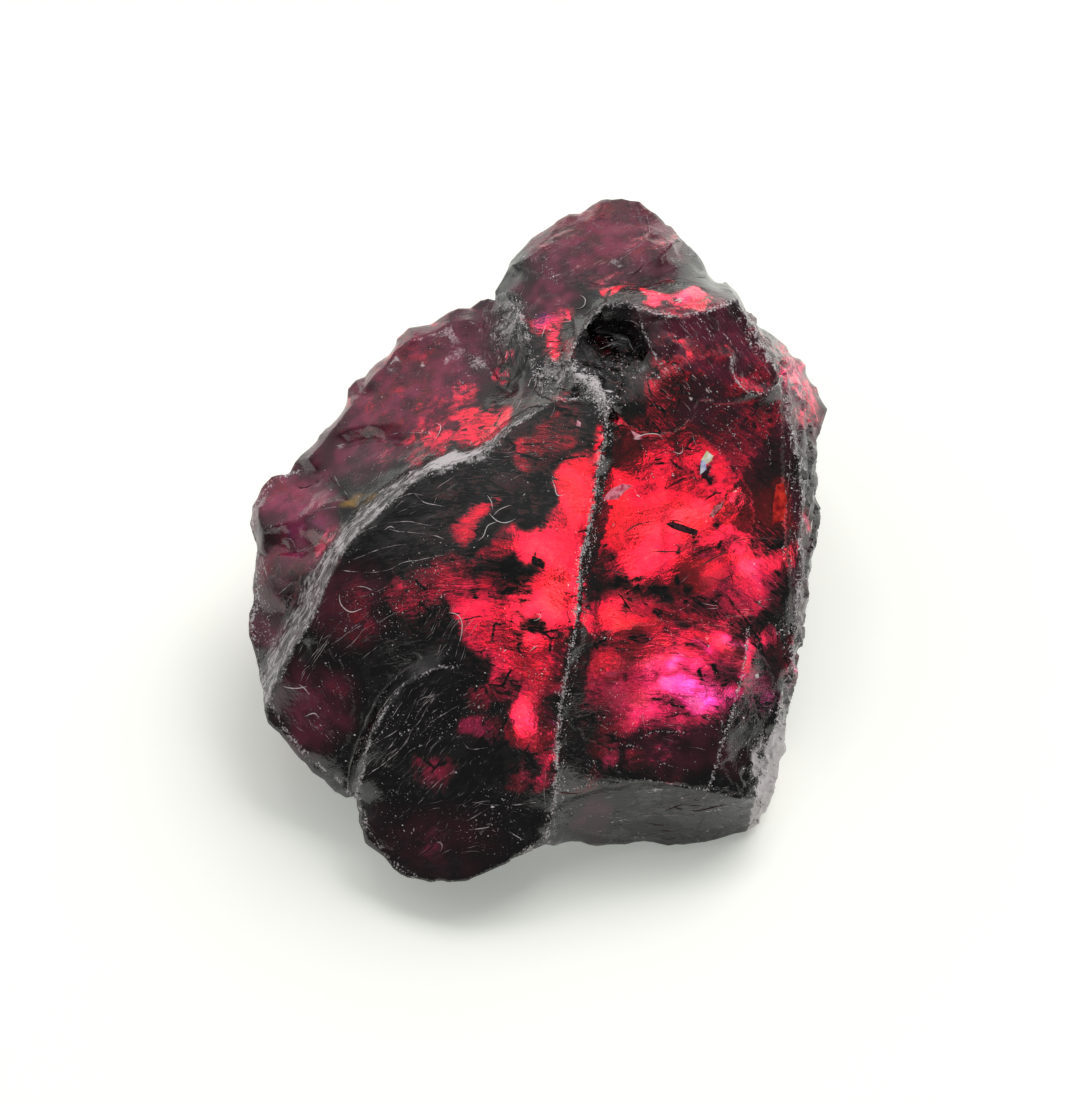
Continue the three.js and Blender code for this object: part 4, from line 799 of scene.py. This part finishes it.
def thread(line, radius, rise, uneven):
    """A tube of four sides along a curve laid on the skin and raised by `rise` mm, thinning at its ends
    and, where it is uneven, in places along it."""
    flat = curve_through(line, 0.06)
    wobble = np.column_stack([flat, np.full(len(flat), 3.3)])
    flat += 0.025 * uneven * np.column_stack([noise(wobble, 0.17, 81), noise(wobble, 0.17, 82)])
    at, outward = on_skin(flat)
    for _ in range(2):
        at[1:-1] = 0.5 * at[1:-1] + 0.25 * (at[:-2] + at[2:])
    at = at + outward * (rise * MM)
    along = np.gradient(at, axis=0)
    along /= np.linalg.norm(along, axis=1)[:, None]
    side_way = np.cross(along, outward)
    side_way /= np.maximum(np.linalg.norm(side_way, axis=1), 1e-6)[:, None]
    lifted = np.cross(side_way, along)
    steps = np.arange(len(at))
    thick = np.clip(np.minimum(steps, steps[::-1]) / 3 + 0.2, 0, 1)
    thick *= 1 - uneven * np.clip(0.55 - 1.3 * noise(wobble, 0.28, 83), 0, 1)
    a = np.arange(4) * math.pi / 2
    ring = np.cos(a)[:, None] * side_way[:, None] + np.sin(a)[:, None] * lifted[:, None]
    points = (at[:, None] + ring * (radius * MM * thick)[:, None, None]).reshape(-1, 3)
    row, turn = np.meshgrid(np.arange(len(at) - 1), np.arange(4), indexing="ij")
    quads = np.stack([row * 4 + turn, row * 4 + (turn + 1) % 4, (row + 1) * 4 + (turn + 1) % 4,
                      (row + 1) * 4 + turn], axis=2).reshape(-1, 4)
    last = (len(at) - 1) * 4
    tris = np.vstack([quads[:, [0, 1, 2]], quads[:, [0, 2, 3]], [[0, 2, 1], [0, 3, 2]],
                      [[last, last + 1, last + 2], [last, last + 2, last + 3]]])
    return points, tris


def bundle(name, lines, radius, rise, uneven, material):
    """One piece of many threads."""
    made = [thread(line, radius, rise, uneven) for line in lines]
    starts = np.cumsum([0] + [len(points) for points, _ in made[:-1]])
    loose_piece(name, np.vstack([points for points, _ in made]),
                np.vstack([faces + start for (_, faces), start in zip(made, starts)]), material)


HAIRLINES = [
    [(-3.15, 1.2), (-2.9, 0.95), (-2.5, 0.85), (-2.1, 0.75)],
    [(-4.6, 0.1), (-4.1, 0.35), (-3.4, 0.45), (-2.7, 0.35)],
    [(-3.9, 0.3), (-3.4, 0.2), (-2.8, 0.15), (-2.3, 0.0)],
    [(-4.7, -0.5), (-4.3, -0.35), (-3.9, -0.2), (-3.2, -0.1)],
    [(-4.95, -0.75), (-4.3, -0.8), (-3.8, -0.75), (-3.3, -0.55), (-2.4, -0.38)],
    [(-4.6, -1.15), (-4.3, -1.15), (-4.05, -1.3), (-3.8, -1.15), (-3.5, -1.05)],
    [(-4.5, -1.45), (-4.1, -1.3)], [(-5.2, -2.6), (-4.9, -2.4), (-4.55, -2.1)], [(-1.0, 1.6), (-0.4, 1.85)],
    [(-3.6, 1.0), (-3.2, 1.15), (-2.9, 1.1)], [(-2.1, -1.9), (-2.4, -2.4), (-2.55, -2.9)],
    [(-1.8, -1.9), (-2.0, -2.5), (-2.1, -2.9)], [(-3.0, -2.6), (-3.4, -3.1), (-3.6, -3.5)],
    [(-2.9, -2.8), (-3.1, -3.2)],
    # the light-grey line on the lobe's crest: a raised rib, its pale colour partly a painted highlight
    [(-4.4, -5.8), (-4.3, -5.2), (-4.1, -4.5), (-3.7, -3.85), (-3.3, -3.5), (-2.8, -3.25), (-2.2, -3.15)],
    [(-4.25, -5.1), (-3.9, -4.95), (-3.5, -4.7)], [(-4.3, -5.85), (-3.8, -5.5), (-3.4, -5.1), (-3.1, -4.6)],
    [(-4.25, -5.5), (-3.9, -5.3), (-3.6, -5.0)], [(-4.1, -6.8), (-3.9, -6.4), (-3.7, -6.2)],
    [(-3.1, -6.2), (-2.7, -6.0)], [(-1.9, -5.0), (-1.75, -5.2), (-1.3, -5.15)],
    [(-2.9, -7.8), (-2.7, -7.55), (-2.2, -7.6)], [(-1.7, -6.5), (-0.9, -6.6), (0.0, -6.5)],
    [(-1.8, -7.2), (-1.0, -7.15), (-0.4, -7.45), (0.0, -7.4)], [(0.2, -5.4), (0.1, -6.2), (0.15, -6.9)],
    [(1.3, 5.2), (1.7, 5.4), (2.2, 5.45), (2.5, 5.3)], [(1.5, 4.75), (1.9, 4.9), (2.3, 4.85)],
    [(0.7, 7.9), (1.2, 8.0), (1.6, 7.8)], [(1.9, 6.9), (2.4, 7.3), (2.8, 7.75)], [(0.1, 6.8), (0.4, 6.5)],
    [(-0.4, 7.3), (0.4, 7.6), (0.9, 7.7)], [(2.0, 7.1), (2.5, 7.4)], [(1.9, 8.3), (2.3, 8.15), (2.7, 8.1)],
    [(-3.9, 2.6), (-3.2, 2.7), (-2.6, 2.6)],
    [(-6.4, 0.05), (-6.2, 0.0), (-6.05, -0.3), (-5.5, 0.05), (-5.1, 0.4)],
    [(-6.9, 0.15), (-6.5, 0.3), (-6.0, 0.5), (-5.5, 0.75), (-5.0, 0.85)],
    [(-5.2, 1.7), (-5.0, 1.35), (-4.75, 1.05)], [(-5.2, 1.7), (-5.35, 1.35)],
    [(-7.0, -0.3), (-6.85, -0.8), (-6.65, -1.3)], [(-6.55, -1.35), (-6.0, -0.9), (-5.3, -0.3)],
    [(1.3, -7.0), (2.2, -6.9), (3.2, -6.85), (4.2, -6.9)], [(1.8, -6.6), (2.8, -6.5), (3.8, -6.6)],
    [(1.5, 3.15), (1.55, 2.7), (1.7, 2.5)], [(0.4, 3.4), (0.3, 3.1), (0.2, 2.9)],
    [(2.9, -3.8), (2.55, -4.3), (2.7, -4.9)], [(3.1, -3.7), (3.4, -4.1), (3.7, -4.35)],
    [(-0.15, 4.3), (-0.1, 3.9), (-0.35, 3.4), (-0.45, 3.0)],
    [(-0.1, 4.3), (0.0, 3.9), (-0.2, 3.4), (-0.3, 3.0)], [(-0.2, 4.1), (-0.35, 3.7), (-0.6, 3.2)],
    [(-0.05, 4.2), (0.05, 3.8), (-0.05, 3.3), (-0.15, 3.0)], [(-0.25, 3.9), (-0.5, 3.4), (-0.75, 3.0)],
]
# Fine scratches and hackles, strewn by region: (u, v, ru, rv, direction, how many, length in mm).
HACKLED = [
    (-3.2, -5.2, 1.2, 1.4, 48, 46, 0.55), (-2.3, -2.4, 0.7, 0.7, 66, 22, 0.5),
    (-2.6, -3.9, 1.0, 0.7, 25, 20, 0.35), (-4.6, -2.4, 0.9, 0.6, 32, 14, 0.45),
    (-2.4, -7.2, 1.3, 0.9, 20, 20, 0.4), (4.3, 4.9, 1.5, 0.9, -55, 40, 0.2),
    (3.2, 3.9, 0.9, 0.7, -48, 18, 0.2), (1.5, 7.6, 1.8, 0.9, 30, 14, 0.6),
    (-3.1, 3.6, 2.2, 1.3, 25, 10, 0.4), (3.0, -6.8, 2.2, 0.5, 6, 26, 0.7),
    (0.3, 5.0, 0.35, 0.8, 2, 26, 0.3), (3.0, 6.1, 1.1, 0.25, 18, 12, 0.6),
    (4.8, 2.4, 1.2, 1.2, -60, 12, 0.2), (3.0, -3.8, 1.9, 1.6, -8, 26, 0.3),
    (-5.9, -2.2, 0.5, 1.4, 62, 30, 0.6), (-3.6, 1.0, 1.2, 0.5, 40, 18, 0.5),
    (-0.3, 2.0, 1.2, 0.6, 8, 26, 0.25), (0.45, 3.85, 0.4, 0.3, 8, 16, 0.4),
    (5.0, -5.1, 0.4, 0.9, 70, 20, 0.4), (1.9, 4.4, 0.6, 0.8, 15, 16, 0.3),
    (-0.9, 5.2, 0.4, 0.7, 75, 22, 0.5), (-5.6, -4.3, 0.8, 0.9, -50, 14, 0.3),
    (6.7, -1.5, 0.2, 3.0, 85, 20, 0.5), (4.6, -1.9, 1.0, 0.5, -5, 18, 0.35),
]
hackle_lines = []
for hu, hv, ru, rv, direction, many, length in HACKLED:
    r = np.sqrt(rng.random(many))
    ring = rng.uniform(0, 2 * math.pi, many)
    a = np.radians(direction + rng.normal(scale=9, size=many))
    way = np.column_stack([np.cos(a), np.sin(a)]) * (length * rng.lognormal(0, 0.4, many))[:, None] / 3
    start = np.column_stack([hu + ru * r * np.cos(ring), hv + rv * r * np.sin(ring)])
    bow = np.column_stack([-way[:, 1], way[:, 0]]) * rng.normal(scale=0.25, size=many)[:, None]
    hackle_lines += list(np.stack([start, start + way + bow, start + 2 * way + bow, start + 3 * way], axis=1))
LINT = [
    [(-1.3, 1.1), (-1.2, 0.95), (-1.17, 0.75)], [(-1.25, 0.65), (-1.05, 0.45), (-0.8, 0.42), (-0.6, 0.52)],
    [(-1.15, 0.6), (-1.0, 0.75), (-0.7, 0.86)], [(-1.05, 0.45), (-1.3, 0.35), (-1.38, 0.1), (-1.52, -0.02)],
    [(0.3, 1.5), (0.38, 1.3), (0.42, 1.08), (0.62, 1.12)],
    [(-4.98, -1.35), (-4.95, -1.6), (-4.7, -1.8), (-4.42, -1.7)],
    [(-2.25, -1.8), (-2.02, -1.85), (-1.92, -2.1), (-1.97, -2.5)],
    [(2.3, 2.5), (2.6, 2.62), (2.95, 2.62), (3.05, 2.5)],
    [(3.3, 2.2), (3.45, 2.12), (3.55, 2.2), (3.53, 2.35)],
    [(-0.15, -2.0), (0.02, -1.95), (0.03, -1.83), (-0.08, -1.84)],
    [(-2.6, 2.9), (-2.45, 2.85), (-2.5, 2.65), (-2.6, 2.5)], [(-2.45, -7.7), (-2.4, -7.55), (-2.55, -7.5)],
    [(1.0, 6.1), (1.15, 6.0), (1.1, 5.8), (0.9, 5.75)], [(0.15, 5.35), (0.05, 5.05)],
    [(-3.85, 0.25), (-3.7, 0.35), (-3.6, 0.28)], [(-0.25, -2.75), (-0.05, -2.6)],
    [(5.9, -4.05), (6.0, -4.2)], [(-5.85, -4.4), (-5.6, -4.3), (-5.5, -4.45)],
    [(-6.4, -3.65), (-6.1, -3.7), (-5.8, -3.65)], [(-6.0, -3.6), (-5.85, -3.7), (-5.75, -3.85)],
]
# Cotton: matt, slightly off white, with the sheen of fine fibre.
cotton = patched("cotton_lint", {"Roughness": 0.6, "Sheen Weight": 0.4}, {"Scale": 4000.0, "Detail": 2.0},
                 "#f4efee", "#b8a0a2")
# Raised ribs of the fracture: glassy, from the stone's own darkness to bright where they are crushed.
rib_glass = patched("fracture_rib", {"Roughness": 0.3}, {"Scale": 6000.0, "Detail": 3.0},
                    "#2c1a1e", "#d9cccf", {1: 0.38, 2: 0.64})
bundle("Hairlines", HAIRLINES, 0.0085, 0.001, 1.0, rib_glass)
bundle("Hackles", hackle_lines, 0.0055, 0.001, 0.9, rib_glass)
bundle("Lint", LINT, 0.011, 0.02, 0.0, cotton)

# Cracks: dark lines where a fracture comes up to the surface and swallows the light.
CRACKS = [
    [(3.12, 0.38), (3.4, 0.42), (3.7, 0.25), (3.92, 0.2)],
    [(3.15, 0.46), (3.45, 0.48), (3.75, 0.33), (3.95, 0.22)],
    [(2.1, 0.2), (2.5, 0.4), (3.0, 0.5), (3.35, 0.58)], [(2.5, -0.34), (3.0, -0.28), (3.7, -0.3)],
    [(1.3, -0.7), (1.7, -0.75), (2.2, -0.85)], [(4.1, 0.5), (4.4, 0.9), (4.7, 1.15), (4.9, 1.3)],
    [(4.95, 0.0), (5.5, 0.05), (6.0, 0.0), (6.4, -0.02)],
    [(3.5, -1.05), (4.0, -0.65), (4.6, -0.3), (4.95, 0.05)], [(4.35, 0.9), (4.6, 0.6), (4.8, 0.75)],
    [(4.3, 0.45), (4.5, 0.2), (4.9, 0.1)], [(1.9, -1.75), (2.3, -1.8), (2.7, -1.85)],
    [(4.3, 6.6), (3.6, 6.55), (2.9, 6.4), (2.2, 6.25)], [(2.2, 6.5), (2.5, 6.8), (2.7, 7.0)],
    [(3.1, -6.75), (3.5, -6.6), (4.0, -6.62)], [(3.4, -6.7), (3.8, -6.85), (4.1, -7.05)],
    [(2.6, -7.05), (3.1, -7.15)], [(3.0, -7.25), (3.4, -7.3)],
    [(3.3, -6.65), (3.9, -6.75), (4.6, -6.6), (5.1, -6.7)], [(1.0, 6.5), (1.6, 6.35), (2.2, 6.45)],
    [(0.0, 4.72), (0.3, 4.66), (0.6, 4.74)], [(0.1, 5.0), (0.35, 4.93), (0.65, 5.0)],
    [(-0.1, 5.27), (0.35, 5.2), (0.8, 5.3)], [(0.4, -6.25), (0.9, -6.3), (1.4, -6.1)],
    [(4.7, -0.75), (4.8, -1.1), (4.75, -1.35)], [(4.2, -0.9), (4.5, -1.0), (4.8, -0.85)],
    [(-6.4, -1.35), (-6.0, -1.5), (-5.5, -1.1)], [(-6.3, 1.5), (-6.0, 1.3), (-5.6, 1.45), (-5.3, 1.7)],
    [(-5.3, 1.65), (-5.1, 1.4), (-4.8, 1.25)],
]
crack_dark = patched("open_crack", {"Roughness": 0.25}, {"Scale": 5000.0, "Detail": 2.0},
                     "#12070a", "#5a1522")
bundle("Cracks", CRACKS, 0.02, 0.0, 0.9, crack_dark)

# Flakes: thin plates half split from the face, which turn the light back pale pink, and a blue-white and a
# yellow-white one side by side that are a painted glint.
FLAKES = [
    ([(1.55, 1.0), (1.75, 1.25), (2.05, 1.4), (2.32, 1.34), (2.1, 1.2), (1.95, 1.02), (1.7, 0.98)],
     "#b82a48", "#ff9aae"),
    ([(4.18, 0.55), (4.35, 0.85), (4.6, 1.0), (4.55, 0.8), (4.35, 0.6)], "#96283a", "#e58a90"),
    ([(2.25, 2.72), (2.35, 2.48), (2.55, 2.5), (2.5, 2.6)], "#c04a64", "#ffc6d2"),
    # a painted glint, blue-white and yellow-white, where light flashes off a cleavage inside
    ([(3.98, 1.62), (4.0, 1.98), (4.12, 1.98), (4.14, 1.75)], "#7f86d8", "#f2f2ff"),
    ([(4.0, 1.98), (4.15, 2.22), (4.32, 2.1), (4.26, 1.96), (4.14, 1.88)], "#e8dca0", "#ffffff"),
    ([(0.9, 2.82), (0.92, 2.97), (1.02, 2.9), (1.0, 2.8)], "#d08090", "#ffd0da"),
    ([(3.12, 0.4), (3.3, 0.46), (3.6, 0.36), (3.93, 0.24), (3.9, 0.1), (3.6, 0.18), (3.3, 0.28)],
     "#120408", "#4a2830"),
    ([(5.8, 0.4), (5.82, 0.9), (5.9, 1.38), (6.08, 1.42), (6.16, 1.0), (6.08, 0.5)], "#8c1018", "#f0382c"),
    ([(5.36, -3.36), (5.44, -3.34), (5.46, -3.43), (5.38, -3.46)], "#b0a0a4", "#f2eaec"),
]
for index, (outline, dark, light) in enumerate(FLAKES):
    at, outward = on_skin(outline)
    middle = at.mean(axis=0)
    n = len(at)
    lifted = np.vstack([middle + outward.mean(axis=0) * 0.02 * MM, at, at - outward * 0.03 * MM])
    turn = np.arange(n)
    after = (turn + 1) % n
    top = np.column_stack([np.zeros(n, dtype=int), 1 + turn, 1 + after])
    wall = np.vstack([np.column_stack([1 + turn, 1 + n + turn, 1 + n + after]),
                      np.column_stack([1 + turn, 1 + n + after, 1 + after])])
    floor_fan = np.column_stack([np.full(n - 2, 1 + n), 1 + n + np.arange(2, n), 1 + n + np.arange(1, n - 1)])
    flake_paint = patched("cleavage_flake_%d" % index, {"Roughness": 0.2}, {"Scale": 7000.0, "Detail": 3.0},
                    dark, light, {1: 0.35, 2: 0.65})
    loose_piece("Flake_%d" % index, lifted, np.vstack([top, wall, floor_fan]), flake_paint)

# ------------------------------------------------------------------------------------------------
# The table it is shown on: smooth white paper over a light pad, so that light comes up through the
# resting face, with two soft lights behind.

REACH, FLOOR_DOWN, PAD_DOWN = 1.5, -0.04 * MM, -0.02 * MM
floor_mesh = bpy.data.meshes.new("floor")
floor_mesh.from_pydata([(REACH * x, REACH * y, FLOOR_DOWN) for x, y in ((-1, -1), (1, -1), (1, 1), (-1, 1))],
                       [], [(0, 1, 2, 3)])
floor = show("Floor", floor_mesh)


def plain(name, finish):
    """A material that is the same all over, from its shader's settings."""
    made = bpy.data.materials.new(name)
    made.use_nodes = True
    for key, value in finish.items():
        made.node_tree.nodes["Principled BSDF"].inputs[key].default_value = value
    return made


# Coated paper, white and matt, faintly greenish where the light comes through it.
floor_mesh.materials.append(plain("white_paper", {
    "Base Color": srgb("#f2f2ec"), "Roughness": 0.7, "Emission Color": (0.96, 1, 0.93, 1),
    "Emission Strength": 0.28}))

pad_mesh = bpy.data.meshes.new("light_pad")
PAD = [(-4.2, -3.2), (-3.7, -5.0), (-2.9, -6.5), (-1.8, -6.8), (1.7, -6.0), (3.7, -6.2), (4.6, -5.8),
       (5.2, -4.8), (5.3, -3.0), (4.4, -1.2), (4.8, 1.6), (3.4, 3.1), (3.6, 6.0), (1.2, 6.9),
       (-0.5, 6.0), (-3.4, 2.6), (-3.4, -1.2)]
pad_mesh.from_pydata([(x * MM, y * MM, PAD_DOWN) for x, y in PAD], [], [tuple(range(len(PAD)))])
pad = show("LightPad", pad_mesh)
# Opal acrylic, lit from behind.
pad_mesh.materials.append(plain("lamp_window", {"Emission Color": (1, 1, 1, 1), "Emission Strength": 4.0}))

world = bpy.data.worlds.new("room")
bpy.context.scene.world = world
world.use_nodes = True
# The dome: dim in front of the stone, and brightest overhead and behind to the left.
BRIGHTEST_WAY = (-0.352, 0.755, 0.554)
air = world.node_tree
air.nodes["Background"].inputs["Color"].default_value = (1, 1, 1, 1)
toward = add(air, "ShaderNodeVectorMath", {"operation": "DOT_PRODUCT", 1: BRIGHTEST_WAY},
             i0=add(air, "ShaderNodeTexCoord").outputs["Generated"])
dome = add(air, RANGE, {**SMOOTH, 1: 0.05, 2: 0.8, 3: 0.15, 4: 0.6}, Value=toward.outputs["Value"])
air.links.new(dome.outputs["Result"], air.nodes["Background"].inputs["Strength"])


def softbox(name, azimuth, elevation, distance, width, power, mirrored):
    """A square area light aimed at the stone, from a direction, a distance and with a width in metres."""
    light = bpy.data.lights.new(name, "AREA")
    light.size = width
    light.energy = power
    ob = show(name, light)
    ob.visible_glossy = mirrored
    a, e = math.radians(azimuth), math.radians(elevation)
    way = Vector((math.sin(a) * math.cos(e), math.cos(a) * math.cos(e), math.sin(e)))
    ob.location = way * distance
    ob.rotation_euler = way.to_track_quat("Z", "Y").to_euler()


softbox("key_behind", 34, 52, 0.7, 0.5, 3.5, False)
softbox("glints", -25, 62, 0.6, 0.12, 0.2, True)

# ------------------------------------------------------------------------------------------------
# The camera: a long lens, square to the broad face.

camera = bpy.data.cameras.new("camera")
camera.sensor_width = 36
camera.lens = 392
camera.clip_start = 0.01
camera_ob = show("Camera", camera)
bpy.context.scene.camera = camera_ob
SIGHT_DOWN, SIGHT_AWAY = 0.2875, 300   # mm, how far below the face's middle it looks, and from how far
sight = np.array(FACE_ORIGIN) - SIGHT_DOWN * UP_FACE + SIGHT_AWAY * OUT_OF_FACE
camera_ob.location = Vector(sight) * MM
camera_ob.rotation_euler = Vector(OUT_OF_FACE).to_track_quat("Z", "Y").to_euler()
bpy.context.scene.view_settings.view_transform = "Standard"
